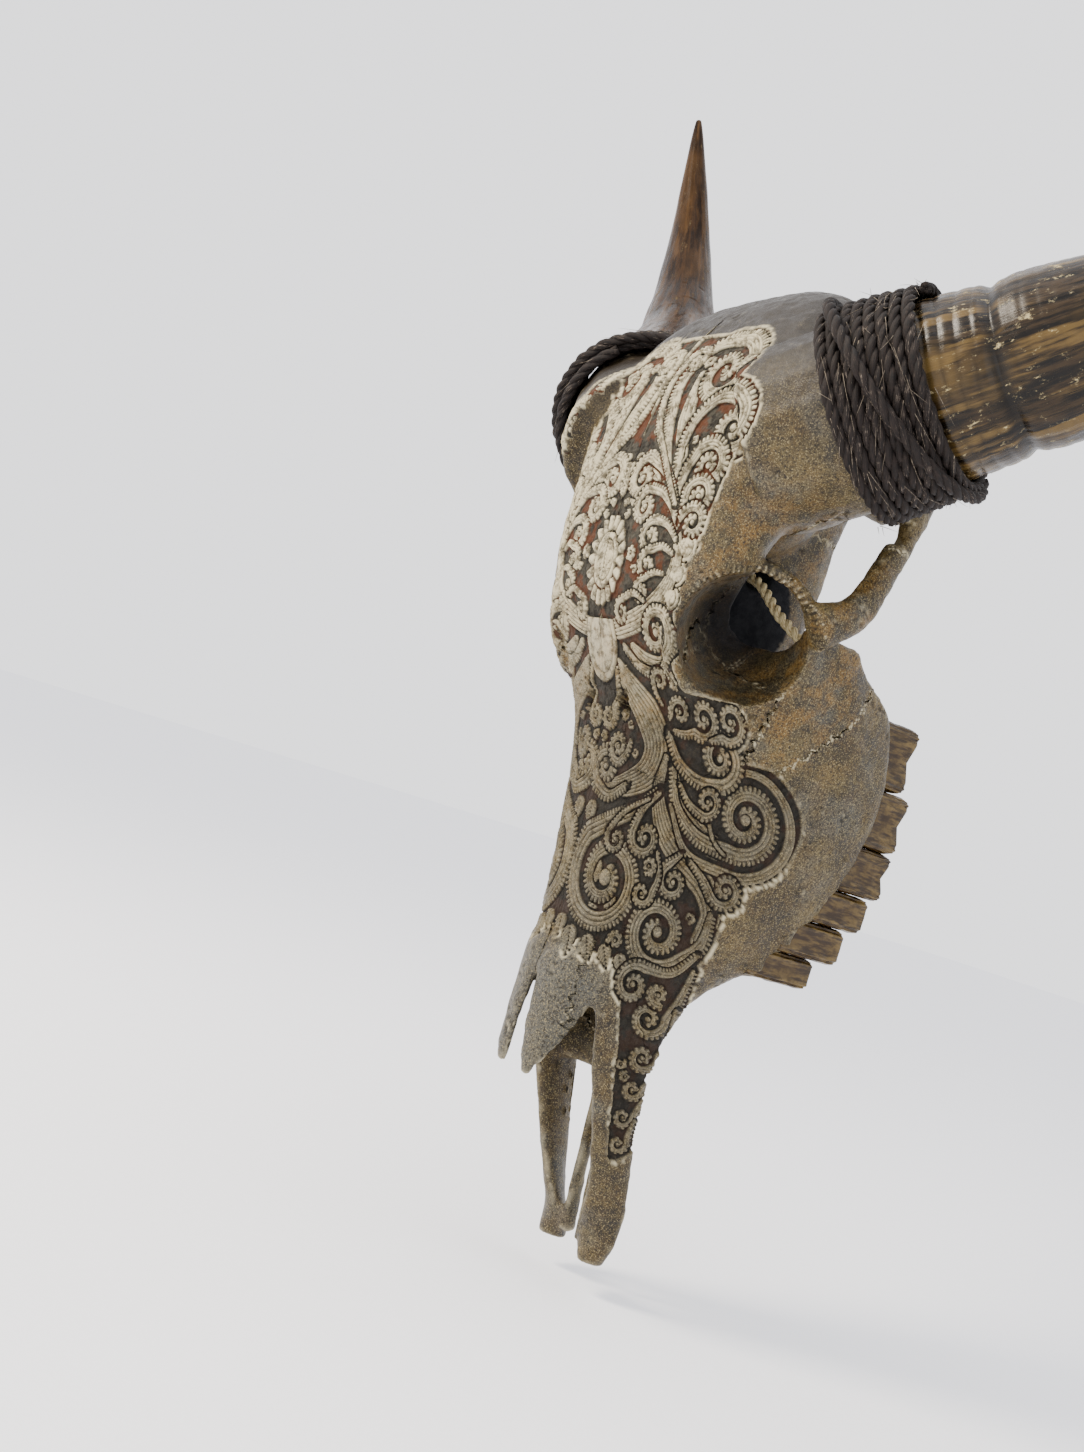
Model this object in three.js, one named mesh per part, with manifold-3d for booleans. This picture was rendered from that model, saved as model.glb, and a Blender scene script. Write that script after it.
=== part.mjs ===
// Carved ox skull wall ornament: a dry skull with sheathed horns, hung nose down.
// Millimetres, +Z up, +X the animal's left, -Y the way the face looks, +Y the wall behind.
// Sections are written as heights above the muzzle tip; the last group moves them to the hook.
import * as THREE from 'three';
import { mergeVertices } from 'three/addons/utils/BufferGeometryUtils.js';
import Module from 'manifold-3d';

const wasm = await Module();
wasm.setup();

// Driving dimensions.
const HOOK_HEIGHT = 470;        // hook above the muzzle tip
const FAR = 300;                // beyond the skull, for the ends of cutting prisms
const WALL_Y = 40;              // wall plane behind the sections' own zero
const GAP = 0.3;                // clear gap at every seam between two pieces
const ORBIT = { x: 76, y: -113.5, z: 322, radius: 33, depth: 50, rim: 3.8, rimDrop: 4 };
const ORBIT_AXIS = new THREE.Vector3(0.864, -0.43, -0.26).normalize();
const HORN_BASE_RADIUS = 45;
const HORN_TAPER = 0.85;
const HORN_TIP_RADIUS = 2;
const HORN_WALL = 5.5;          // thickness of the keratin sheath
const SHEATH_START = 0.045;     // where the sheath meets the bone, as a share of the horn
const CORE_END = 0.34;          // where the bony core ends inside the sheath
const ROPE = { diameter: 6.6, turns: 8, first: -9 };
const CORE_PLAY = 1.2;          // clearance of the bony core in its sheath
const PEDICLE_LENGTH = 52;      // bone behind the horn's base, inside the forehead
// Optic canal through the skull base, where the cord is threaded.
const CANAL = { x: -30, y: -70.5, z: 367, radius: 8, length: 60 };
const NOSE_SHELF_Y = -101;      // the nasal bones lie in front of this depth
const LACRIMAL_X = 20;          // the paired side bones and the pedicles begin at these distances
const ZYGOMATIC_X = 42;
const PEDICLE_X = 58;
const SPHENOID_X = 40;          // half width of the sphenoid
const ROPE_PLAY = 0.8;          // clearance of the rope round the horn
const CORD_DIAMETER = 6;
const VOMER_THICKNESS = 3;
const LOBE_WAIST = 0.16;        // how far a molar narrows between its two lobes

// Centre line of the left horn, from the skull to the tip.
const HORN_LINE = new THREE.CatmullRomCurve3([
  new THREE.Vector3(99, -97, 442),
  new THREE.Vector3(185.5, -49, 493.5),
  new THREE.Vector3(263, -3, 552),
  new THREE.Vector3(323, 18, 638.5),
  new THREE.Vector3(358.5, 13, 743.5),
], false, 'centripetal');

// Face sections: z, ridge y, then x and y of shoulder, side, gum and inner gum, and palate y.
const FACE = [
  { z: 92, top: -96, shoulder: [24, -93], side: [37, -78], gum: [35, -62], inner: [20, -58], palate: -57 },
  { z: 130, top: -121, shoulder: [23, -113], side: [41, -86], gum: [38, -57], inner: [22, -52], palate: -50 },
  { z: 152, top: -121, shoulder: [25, -114], side: [45, -84], gum: [42, -44], inner: [26, -40], palate: -42 },
  { z: 172, top: -121, shoulder: [27, -114], side: [52, -80], gum: [50, -22], inner: [33, -24], palate: -36 },
  { z: 208, top: -123, shoulder: [32, -115], side: [64, -76], gum: [62, -4], inner: [42, -4], palate: -32 },
  { z: 240, top: -125, shoulder: [36, -117], side: [72, -74], gum: [68, 4], inner: [46, 2], palate: -28 },
  { z: 266, top: -129, shoulder: [41, -120], side: [77, -74], gum: [71, 5], inner: [48, 2], palate: -26 },
  { z: 292, top: -137, shoulder: [50, -128], side: [83, -82], gum: [72, 2], inner: [48, -2], palate: -26 },
  { z: 314, top: -147, shoulder: [58, -139], side: [89, -92], gum: [73, -8], inner: [46, -12], palate: -36 },
  { z: 326, top: -152, shoulder: [60, -143], side: [91, -94], gum: [80, -34], inner: [66, -66], palate: -84 },
  { z: 337, top: -155, shoulder: [60, -147], side: [91, -96], gum: [85, -48], inner: [74, -86], palate: -98 },
];

// Forehead sections: z, ridge y, then x and y of shoulder, edge and underside, and deep y.
const FOREHEAD = [
  { z: 296, top: -138, shoulder: [44, -130], edge: [56, -120], under: [44, -100], deep: -95 },
  { z: 320, top: -150, shoulder: [56, -142], edge: [72, -131], under: [50, -102], deep: -92 },
  { z: 345, top: -156, shoulder: [62, -148], edge: [80, -131], under: [52, -104], deep: -88 },
  { z: 370, top: -158, shoulder: [64, -150], edge: [86, -125], under: [54, -100], deep: -84 },
  { z: 396, top: -158, shoulder: [66, -149], edge: [90, -118], under: [60, -90], deep: -78 },
  { z: 422, top: -156, shoulder: [72, -146], edge: [99, -112], under: [76, -70], deep: -62 },
  { z: 446, top: -151, shoulder: [76, -139], edge: [104, -104], under: [80, -58], deep: -52 },
  { z: 470, top: -141, shoulder: [72, -130], edge: [96, -100], under: [70, -66], deep: -52 },
  { z: 490, top: -128, shoulder: [62, -120], edge: [82, -98], under: [58, -70], deep: -56 },
  { z: 504, top: -113, shoulder: [46, -109], edge: [60, -98], under: [44, -80], deep: -68 },
  { z: 512, top: -100, shoulder: [24, -98], edge: [34, -93], under: [24, -86], deep: -82 },
];

// Oval sections centred on the midline: z, half width, front y and back y.
const BRAINCASE = [
  [376, 20, -96, -66], [390, 36, -100, -52], [412, 46, -104, -40], [436, 52, -104, -30],
  [458, 55, -100, -22], [476, 46, -96, -30], [492, 30, -92, -48],
];
const SKULL_BASE = [
  [318, 9, -92, -46], [340, 12, -96, -24], [366, 13, -98, -20],
  [396, 16, -90, -20], [426, 20, -80, -16], [452, 24, -60, -8], [464, 20, -44, -8],
];
const NOSE_CAVITY = [
  [70, 25, -112, -64], [100, 27, -112, -62], [132, 33, -115, -56], [166, 38, -115, -46],
  [208, 46, -116, -40], [240, 48, -118, -36], [270, 42, -119, -36], [296, 26, -112, -42],
];
const BRAIN_CAVITY = [
  [398, 20, -88, -50], [420, 32, -92, -44], [446, 36, -88, -36], [470, 20, -62, -20], [492, 17, -40, 4],
];
const CHOANA = [[280, 16, -80, -50], [300, 19, -72, -36], [322, 20, -66, -20], [345, 21, -62, 4]];

// Side view of the notch that leaves the nasal bones free of the nose: y and z.
const NOSE_NOTCH = [[-140, 60], [-74, 60], [-84, 92], [-101, 132], [-104, 135], [-140, 135]];

// Muzzle blade sections: z, centre x and y, half height along the blade, half thickness, lean.
const MUZZLE_BLADE = [
  [-2, 20, -50, 6.5, 8, 1.25], [10, 21, -51, 12, 6.5, 1.2], [26, 26, -55, 12, 5.5, 0.75],
  [44, 29, -60, 11.5, 5, 0.35], [70, 31, -68, 13, 5, 0.2], [98, 33, -76, 17, 5, 0.15],
  [132, 36, -80, 23, 5, 0.2], [170, 40, -88, 24, 5, 0.35], [196, 40, -100, 12, 4, 0.5],
];
const VOMER_OUTLINE = [
  [-60, 138], [-49, 166], [-43, 208], [-39, 240], [-40, 266], [-84, 280], [-100, 240], [-94, 190], [-76, 150],
];
const PALATE_ROD = [
  [4, 8, -50, 5, 3, 0], [40, 7, -54, 4, 3, 0], [80, 7, -57, 4, 3, 0], [104, 9, -58, 5, 4, 0],
];
const PTERYGOID = [[300, 27, -34, 20, 4, 0], [318, 25, -36, 18, 3.4, 0], [334, 23, -40, 9, 3, 0]];
const NASAL_TIP = [
  [84, 13, -118, 3, 2, 1.4], [94, 13, -119, 7, 2.4, 1.35], [112, 12.4, -120, 10.5, 2.8, 1.35],
  [134, 12.4, -119, 12, 3.6, 1.3], [150, 13, -118, 12.5, 4, 1.3],
];
const NASAL_FLANGE = [
  [92, 18, -118, 3, 2, 0.9], [104, 21.5, -115, 6, 2.2, 0.75], [120, 24.5, -112, 9, 2.4, 0.6],
  [134, 26, -110.5, 9, 2.6, 0.5], [152, 27, -110, 8.5, 3, 0.45],
];

// Cheek teeth from front to back: z centre, x centre, length along the row, width, biting y.
const TEETH = [
  { name: 'premolar_2', z: 173.5, x: 47.5, length: 16, width: 14, bite: 7, root: -34, lobes: 1 },
  { name: 'premolar_3', z: 191.5, x: 51.5, length: 19, width: 17, bite: 17, root: -22, lobes: 1 },
  { name: 'premolar_4', z: 211, x: 54.5, length: 19, width: 19, bite: 23, root: -14, lobes: 1 },
  { name: 'molar_1', z: 233.5, x: 57, length: 25, width: 21, bite: 27, root: -8, lobes: 2 },
  { name: 'molar_2', z: 262, x: 58.5, length: 31, width: 22, bite: 26, root: -7, lobes: 2 },
  { name: 'molar_3', z: 295.5, x: 58.5, length: 35, width: 21, bite: 20, root: -12, lobes: 2 },
];

// The hanging cord, from its knot in the left eye socket, through the skull base and up to the hook.
const CORD_ROUTE = [
  [57, -57, 332], [54.5, -64.6, 336], [46, -67, 341.5], [35, -68.5, 348], [15, -70, 362], [0, -70, 367],
  [-15, -69, 370], [-36, -64, 374], [-58, -48, 388], [-70, -26, 414], [-67, 2, 430], [-44, 25, 444],
  [-8.4, 30.5, 450.8],
];
const SOCKET_KNOT = { x: 58.5, y: -51.3, z: 330, radius: 5.3 };
const HOOK_KNOT = { x: -1, y: 32, z: 451.7, radius: 6.4 };
const EYE = { y: 33, z: 470, radius: 8.5 };   // loop of cord that hangs over the hook

const BONE = { color: 0x7d705a, roughness: 0.55, metalness: 0 };
const CARVED_BONE = { color: 0x857660, roughness: 0.6, metalness: 0 };
const ENAMEL = { color: 0x8a7650, roughness: 0.4, metalness: 0 };
const HORN = { color: 0x3a3128, roughness: 0.3, metalness: 0 };
const PALM_ROPE = { color: 0x2a211c, roughness: 0.85, metalness: 0 };
const COTTON = { color: 0xd8cba6, roughness: 0.8, metalness: 0 };

// Closed surface through rings of equal length, each end shut by a fan.
function skin(rings) {
  const sides = rings[0].length;
  const positions = [];
  const index = [];
  for (const ring of rings) {
    for (const p of ring) positions.push(p.x, p.y, p.z);
  }
  for (let i = 0; i < rings.length - 1; i++) {
    for (let j = 0; j < sides; j++) {
      const a = i * sides + j;
      const b = i * sides + ((j + 1) % sides);
      index.push(a, b, a + sides, b, b + sides, a + sides);
    }
  }
  for (const end of [0, rings.length - 1]) {
    const centre = rings[end].reduce((sum, p) => sum.add(p), new THREE.Vector3()).divideScalar(sides);
    const hub = positions.length / 3;
    positions.push(centre.x, centre.y, centre.z);
    for (let j = 0; j < sides; j++) {
      const a = end * sides + j;
      const b = end * sides + ((j + 1) % sides);
      if (end === 0) index.push(b, a, hub);
      else index.push(a, b, hub);
    }
  }
  const geometry = new THREE.BufferGeometry();
  geometry.setAttribute('position', new THREE.Float32BufferAttribute(positions, 3));
  geometry.setIndex(index);
  return geometry;
}

// Six times the signed volume of an indexed geometry: negative when its faces point in.
function signedVolume(vertices, triangles) {
  const [a, b, c] = [new THREE.Vector3(), new THREE.Vector3(), new THREE.Vector3()];
  let sum = 0;
  for (let i = 0; i < triangles.length; i += 3) {
    a.fromArray(vertices, triangles[i] * 3);
    b.fromArray(vertices, triangles[i + 1] * 3);
    c.fromArray(vertices, triangles[i + 2] * 3);
    sum += a.dot(b.cross(c));
  }
  return sum;
}

function toSolid(geometry) {
  const plain = geometry.clone();
  plain.deleteAttribute('normal');
  plain.deleteAttribute('uv');
  const merged = mergeVertices(plain, 1e-4);
  const vertProperties = Float32Array.from(merged.attributes.position.array);
  const triVerts = Uint32Array.from(merged.index.array);
  if (signedVolume(vertProperties, triVerts) < 0) {
    for (let i = 0; i < triVerts.length; i += 3) {
      [triVerts[i], triVerts[i + 1]] = [triVerts[i + 1], triVerts[i]];
    }
  }
  return new wasm.Manifold(new wasm.Mesh({ numProp: 3, vertProperties, triVerts }));
}

// The biggest body of a solid, as a geometry.
function toGeometry(solid) {
  const bodies = solid.decompose();
  bodies.sort((a, b) => b.volume() - a.volume());
  const mesh = bodies[0].getMesh();
  const geometry = new THREE.BufferGeometry();
  geometry.setAttribute('position', new THREE.Float32BufferAttribute(mesh.vertProperties, 3));
  geometry.setIndex(Array.from(mesh.triVerts));
  return geometry;
}

const union = (solids) => solids.reduce((a, b) => a.add(b));
const mirrored = (solid) => solid.mirror([1, 0, 0]);
const bothSides = (solid) => solid.add(mirrored(solid));

// Rings at every section and between them, smooth along the length and around each section.
function loft(sections, controlPoints, sides, ringsPerGap = 1) {
  const steps = ringsPerGap * (sections.length - 1);
  const rows = sections.map(controlPoints);
  const lineThrough = (k) => new THREE.CatmullRomCurve3(rows.map((row) => row[k]), false, 'centripetal');
  const lines = rows[0].map((_, k) => lineThrough(k));
  const rings = [];
  for (let i = 0; i <= steps; i++) {
    const controls = lines.map((line) => line.getPoint(i / steps));
    const outline = new THREE.CatmullRomCurve3(controls, true, 'centripetal');
    rings.push(outline.getPoints(sides).slice(0, sides));
  }
  return toSolid(skin(rings));
}

// A left half outline closed by its mirror image; the first and last points lie on the midline.
function symmetric(points, z) {
  const left = points.map(([x, y]) => new THREE.Vector3(x, y, z));
  const right = points.slice(1, -1).reverse().map(([x, y]) => new THREE.Vector3(-x, y, z));
  return [...left, ...right];
}

const faceOutline = (s) => symmetric([[0, s.top], s.shoulder, s.side, s.gum, s.inner, [0, s.palate]], s.z);
const foreheadOutline = (s) => symmetric([[0, s.top], s.shoulder, s.edge, s.under, [0, s.deep]], s.z);

function ovalOutline([z, halfWidth, front, back]) {
  const middle = (front + back) / 2;
  const reach = Math.SQRT1_2 * halfWidth;
  const depth = Math.SQRT1_2 * (back - front) / 2;
  const points = [
    [0, front], [reach, middle - depth], [halfWidth, middle], [reach, middle + depth], [0, back],
  ];
  return symmetric(points, z);
}

// A flattened oval at one height: half height and half thickness, leaning by an angle.
function bladeOutline([z, x, y, halfHeight, halfThickness, lean]) {
  const points = [];
  for (let k = 0; k < 8; k++) {
    const angle = (k / 8) * 2 * Math.PI;
    const along = Math.cos(angle) * halfHeight;
    const across = Math.sin(angle) * halfThickness;
    const px = x + along * Math.sin(lean) + across * Math.cos(lean);
    const py = y + along * Math.cos(lean) - across * Math.sin(lean);
    points.push(new THREE.Vector3(px, py, z));
  }
  return points;
}

// A tube whose radii change along a curve: sizes(t) gives the half width and half height.
function sweptSolid(curve, steps, sides, sizes, from = 0, to = 1) {
  const rings = [];
  for (let i = 0; i <= steps; i++) {
    const t = from + (to - from) * (i / steps);
    const centre = curve.getPoint(t);
    const tangent = curve.getTangent(t);
    const sideways = new THREE.Vector3(0, 1, 0).cross(tangent).normalize();
    const upward = tangent.clone().cross(sideways);
    const [wide, high] = sizes(t);
    const ring = [];
    for (let j = 0; j < sides; j++) {
      const angle = (j / sides) * 2 * Math.PI;
      const p = centre.clone().addScaledVector(sideways, wide * Math.cos(angle));
      ring.push(p.addScaledVector(upward, high * Math.sin(angle)));
    }
    rings.push(ring);
  }
  return toSolid(skin(rings));
}

function turned(profile, segments, origin, axis) {
  const points = profile.map(([r, h]) => new THREE.Vector2(r, h));
  const geometry = new THREE.LatheGeometry(points, segments);
  geometry.applyQuaternion(new THREE.Quaternion().setFromUnitVectors(new THREE.Vector3(0, 1, 0), axis));
  geometry.translate(origin.x, origin.y, origin.z);
  return toSolid(geometry);
}

// A prism over a side view outline of y and z points, between two x positions.
function sidePrism(outline, fromX, toX) {
  const shape = new THREE.Shape(outline.map(([y, z]) => new THREE.Vector2(y, z)));
  const geometry = new THREE.ExtrudeGeometry(shape, { depth: toX - fromX, bevelEnabled: false });
  const axes = new THREE.Matrix4().makeBasis(
    new THREE.Vector3(0, 1, 0), new THREE.Vector3(0, 0, 1), new THREE.Vector3(1, 0, 0));
  geometry.applyMatrix4(axes);
  geometry.translate(fromX, 0, 0);
  return toSolid(geometry);
}

// A prism over a front view outline of x and z points, between two y positions.
function frontPrism(outline, fromY, toY) {
  const shape = new THREE.Shape(outline.map(([x, z]) => new THREE.Vector2(x, z)));
  const geometry = new THREE.ExtrudeGeometry(shape, { depth: toY - fromY, bevelEnabled: false });
  geometry.rotateX(Math.PI / 2);
  geometry.translate(0, toY, 0);
  return toSolid(geometry);
}

// The same outline with every edge moved outwards; the outline runs counter-clockwise.
function grown(outline, distance) {
  const count = outline.length;
  const edges = outline.map(([x, y], i) => {
    const [nx, ny] = outline[(i + 1) % count];
    const length = Math.hypot(nx - x, ny - y);
    const out = [(ny - y) / length, (x - nx) / length];
    return { out, offset: out[0] * x + out[1] * y + distance };
  });
  return edges.map((edge, i) => {
    const last = edges[(i + count - 1) % count];
    const det = last.out[0] * edge.out[1] - last.out[1] * edge.out[0];
    const x = (last.offset * edge.out[1] - edge.offset * last.out[1]) / det;
    const y = (last.out[0] * edge.offset - edge.out[0] * last.offset) / det;
    return [x, y];
  });
}

const hornRadius = (t) => HORN_BASE_RADIUS * Math.max(0, 1 - t) ** HORN_TAPER + HORN_TIP_RADIUS;
const hornBase = HORN_LINE.getPoint(0);
const hornAxis = HORN_LINE.getTangent(0.03).normalize();

// Rope turns side by side around the horn: scalloped outside, plain inside.
function lashingSolid(clearance) {
  const inner = hornRadius(0) + ROPE_PLAY - clearance;
  const start = ROPE.first - clearance;
  const end = ROPE.first + ROPE.turns * ROPE.diameter + clearance;
  const profile = [[inner, start], [inner, end]];
  const radius = ROPE.diameter / 2;
  for (let turn = ROPE.turns - 1; turn >= 0; turn--) {
    const middle = ROPE.first + (turn + 0.5) * ROPE.diameter;
    for (const angle of [60, 120]) {
      const r = inner + clearance + radius + (radius + clearance) * Math.sin(THREE.MathUtils.degToRad(angle));
      profile.push([r, middle + radius * Math.cos(THREE.MathUtils.degToRad(angle))]);
    }
  }
  profile.push([inner, start]);
  return turned(profile, 24, hornBase, hornAxis);
}

function hornSheath() {
  const outer = sweptSolid(HORN_LINE, 16, 14, (t) => [hornRadius(t), hornRadius(t)], SHEATH_START, 1);
  const pocket = (t) => hornRadius(t) - HORN_WALL * (1 + t);
  const pocketStart = SHEATH_START - 0.02;
  const pocketEnd = CORE_END + 0.06;
  const inner = sweptSolid(HORN_LINE, 5, 12, (t) => [pocket(t), pocket(t)], pocketStart, pocketEnd);
  return outer.subtract(inner);
}

function hornCore() {
  const inside = (t) => hornRadius(t) - HORN_WALL * (1 + t) - CORE_PLAY;
  const core = sweptSolid(HORN_LINE, 5, 12, (t) => [inside(t), inside(t)], 0, CORE_END);
  const collar = () => [hornRadius(0) - 1, hornRadius(0) - 1];
  const neck = sweptSolid(HORN_LINE, 1, 16, collar, 0, SHEATH_START - 0.003);
  const inward = hornBase.clone().addScaledVector(HORN_LINE.getTangent(0), -PEDICLE_LENGTH);
  const pedicle = sweptSolid(new THREE.LineCurve3(inward, hornBase), 2, 16, collar);
  return union([core, neck, pedicle]);
}

function orbitCavity() {
  const centre = new THREE.Vector3(ORBIT.x, ORBIT.y, ORBIT.z);
  const deep = centre.clone().addScaledVector(ORBIT_AXIS, -ORBIT.depth);
  const beyond = ORBIT.depth + 40;
  const profile = [
    [0, 0], [13, 0], [23, 14], [29, 34], [ORBIT.radius, ORBIT.depth], [ORBIT.radius + 5, beyond], [0, beyond],
  ];
  return turned(profile, 20, deep, ORBIT_AXIS);
}

// The hollow behind the eye, from the socket back to the skull base.
function socketRecess() {
  const line = new THREE.CatmullRomCurve3([
    new THREE.Vector3(74, -108, 334), new THREE.Vector3(52, -84, 346), new THREE.Vector3(36, -52, 352),
    new THREE.Vector3(30, -12, 360)]);
  return sweptSolid(line, 4, 12, (t) => [20 + 3 * t, 21 + 3 * t]);
}

// The raised rim of the eye socket, an oval ring.
function orbitRim() {
  const centre = new THREE.Vector3(ORBIT.x, ORBIT.y, ORBIT.z);
  const rim = [];
  for (let k = 0; k <= 6; k++) {
    const angle = (k / 6) * 2 * Math.PI;
    const radius = ORBIT.radius + ORBIT.rim * (0.8 + Math.cos(angle));
    rim.push([radius, ORBIT.rim * Math.sin(angle) - ORBIT.rimDrop]);
  }
  return turned(rim, 22, centre, ORBIT_AXIS);
}

function zygomaticArch() {
  const line = new THREE.CatmullRomCurve3([
    new THREE.Vector3(99, -92, 336), new THREE.Vector3(98, -70, 350), new THREE.Vector3(93, -57, 376),
    new THREE.Vector3(88, -45, 404), new THREE.Vector3(77, -36, 430), new THREE.Vector3(50, -36, 450),
  ], false, 'centripetal');
  const size = (t) => [5 + 3 * Math.abs(1 - 2 * t), 8 + 4 * Math.abs(1 - 2 * t) ** 2];
  return sweptSolid(line, 12, 10, size);
}

function occipitalBosses() {
  const condyle = new THREE.CatmullRomCurve3([
    new THREE.Vector3(20, -30, 452), new THREE.Vector3(25, -8, 462), new THREE.Vector3(20, 8, 468)]);
  const paracondylar = new THREE.CatmullRomCurve3([
    new THREE.Vector3(46, -40, 450), new THREE.Vector3(47, -14, 447), new THREE.Vector3(43, 12, 438)]);
  const bulla = new THREE.CatmullRomCurve3([
    new THREE.Vector3(30, -44, 428), new THREE.Vector3(32, -28, 424), new THREE.Vector3(33, -14, 420)]);
  const bosses = [
    sweptSolid(condyle, 3, 10, (t) => [12 - 3 * t, 12 - 2 * t]),
    sweptSolid(paracondylar, 3, 8, (t) => [8 - 4 * t, 11 - 6 * t]),
    sweptSolid(bulla, 3, 8, (t) => [11 - 5 * t, 12 - 5 * t]),
  ];
  return bothSides(union(bosses));
}

// The whole dry skull without its teeth, before it is parted into bones.
function wholeSkull() {
  const face = loft(FACE, faceOutline, 28, 2);
  const openFace = face
    .subtract(sidePrism(NOSE_NOTCH, -FAR, FAR))
    .subtract(loft(NOSE_CAVITY, ovalOutline, 16, 2))
    .subtract(loft(CHOANA, ovalOutline, 14));
  const upper = union([
    loft(FOREHEAD, foreheadOutline, 26, 2),
    loft(BRAINCASE, ovalOutline, 16, 2),
    loft(SKULL_BASE, ovalOutline, 12),
    occipitalBosses(),
  ]);
  const canalProfile = [[0, 0], [CANAL.radius, 0], [CANAL.radius, CANAL.length], [0, CANAL.length]];
  const canalStart = new THREE.Vector3(CANAL.x, CANAL.y, CANAL.z);
  const canal = turned(canalProfile, 12, canalStart, new THREE.Vector3(1, 0, 0));
  const brainCavity = loft(BRAIN_CAVITY, ovalOutline, 12);
  const block = union([
    openFace.add(upper.subtract(brainCavity)).subtract(bothSides(orbitCavity().add(socketRecess()))),
    bothSides(union([orbitRim().subtract(orbitCavity()), zygomaticArch(), hornCore()])),
    bothSides(loft(PTERYGOID, bladeOutline, 10)),
    bothSides(loft(MUZZLE_BLADE, bladeOutline, 12)),
    bothSides(loft(PALATE_ROD, bladeOutline, 8)),
    bothSides(loft(NASAL_TIP, bladeOutline, 12).add(loft(NASAL_FLANGE, bladeOutline, 12))),
  ]);
  return block.subtract(canal).subtract(bothSides(lashingSolid(GAP)));
}

const scene = new THREE.Group();
const skull = new THREE.Group();
skull.position.set(0, -WALL_Y, -HOOK_HEIGHT);
scene.add(skull);

function addMesh(name, geometry, finish) {
  const mesh = new THREE.Mesh(geometry, new THREE.MeshStandardMaterial(finish));
  mesh.name = name;
  skull.add(mesh);
}

function addPair(name, solid, finish) {
  addMesh(`left_${name}`, toGeometry(solid), finish);
  addMesh(`right_${name}`, toGeometry(mirrored(solid)), finish);
}

// Regions of the bones, counter-clockwise: the nasal one is x and z, the others y and z.
const NASAL_REGION = [[-34, 70], [34, 70], [33, 118], [29, 142], [30, 200], [26, 250], [12, 278], [0, 292],
  [-12, 278], [-26, 250], [-30, 200], [-29, 142], [-33, 118]];
const PREMAXILLA_REGION = [[-160, -20], [20, -20], [20, 70], [-48, 92], [-74, 120], [-98, 160], [-125, 204],
  [-160, 204]];
const LACRIMAL_REGION = [[-200, 262], [-112, 246], [-88, 262], [-88, 306], [-112, 330], [-128, 302],
  [-200, 286]];
const ZYGOMATIC_REGION = [[-88, 262], [-70, 268], [-42, 300], [-20, 352], [-20, 388], [-84, 388], [-112, 346],
  [-112, 330], [-88, 306]];
const MAXILLA_REGION = [[-200, 20], [80, 20], [80, 326], [-40, 326], [-60, 300], [-112, 284], [-200, 284]];
const FRONTAL_REGION = [[-200, 260], [-100, 260], [-104, 330], [-104, 380], [-88, 410], [-84, 470],
  [-92, 540], [-200, 540]];
const PEDICLE_REGION = [[-200, 392], [-51, 392], [-51, 520], [-200, 520]];
const SPHENOID_REGION = [[-104, 296], [0, 296], [20, 340], [0, 398], [-104, 398]];
const OCCIPITAL_REGION = [[-92, 470], [-40, 446], [40, 430], [40, 540], [-92, 540]];

// Cuts each bone from what is left of the skull, wider than the bone itself by the seam.
function partBones(whole) {
  let left = whole;
  const bones = {};
  const take = (name, region) => {
    bones[name] = left.intersect(region(0));
    left = left.subtract(region(GAP));
  };
  const across = (outline) => (seam) => sidePrism(grown(outline, seam), -FAR, FAR);
  const outside = (outline, x) => (seam) => bothSides(sidePrism(grown(outline, seam), x - seam, FAR));
  take('nasal_bone', (seam) => frontPrism(grown(NASAL_REGION, seam), -FAR, NOSE_SHELF_Y + seam));
  take('premaxilla', across(PREMAXILLA_REGION));
  take('lacrimal_bone', outside(LACRIMAL_REGION, LACRIMAL_X));
  take('zygomatic_bone', outside(ZYGOMATIC_REGION, ZYGOMATIC_X));
  const middle = (outline, x) => (seam) => sidePrism(grown(outline, seam), -x - seam, x + seam);
  take('sphenoid_bone', middle(SPHENOID_REGION, SPHENOID_X));
  take('maxilla', across(MAXILLA_REGION));
  take('frontal_bone', (seam) => across(FRONTAL_REGION)(seam).add(outside(PEDICLE_REGION, PEDICLE_X)(seam)));
  take('occipital_bone', across(OCCIPITAL_REGION));
  bones.temporal_bone = left;
  return bones;
}

// A crown outline with one or two lobes along the row, drawn out towards the wall.
function toothSolid(tooth, clearance) {
  const { z, x, length, width, bite, root, lobes } = tooth;
  const rounded = (value, power) => Math.sign(value) * Math.abs(value) ** power;
  const steps = 10 * lobes;
  const points = [];
  for (let k = 0; k < steps; k++) {
    const angle = (k / steps) * 2 * Math.PI;
    const waist = lobes === 2 ? 1 - LOBE_WAIST * Math.abs(Math.sin(angle)) ** 12 : 1;
    const alongRow = (length / 2 + clearance) * rounded(Math.cos(angle), 0.36);
    const acrossRow = (width / 2 + clearance) * waist * rounded(Math.sin(angle), 0.5);
    points.push(new THREE.Vector2(acrossRow, alongRow));
  }
  const depth = bite - root + 2 * clearance;
  const geometry = new THREE.ExtrudeGeometry(new THREE.Shape(points), { depth, bevelEnabled: false });
  const towardsWall = new THREE.Matrix4().makeBasis(
    new THREE.Vector3(1, 0, 0), new THREE.Vector3(0, 0, 1), new THREE.Vector3(0, 1, 0));
  geometry.applyMatrix4(towardsWall);
  geometry.translate(x, root - clearance, z);
  return toSolid(geometry);
}

function vomer() {
  return sidePrism(VOMER_OUTLINE, -VOMER_THICKNESS / 2, VOMER_THICKNESS / 2);
}

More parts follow.
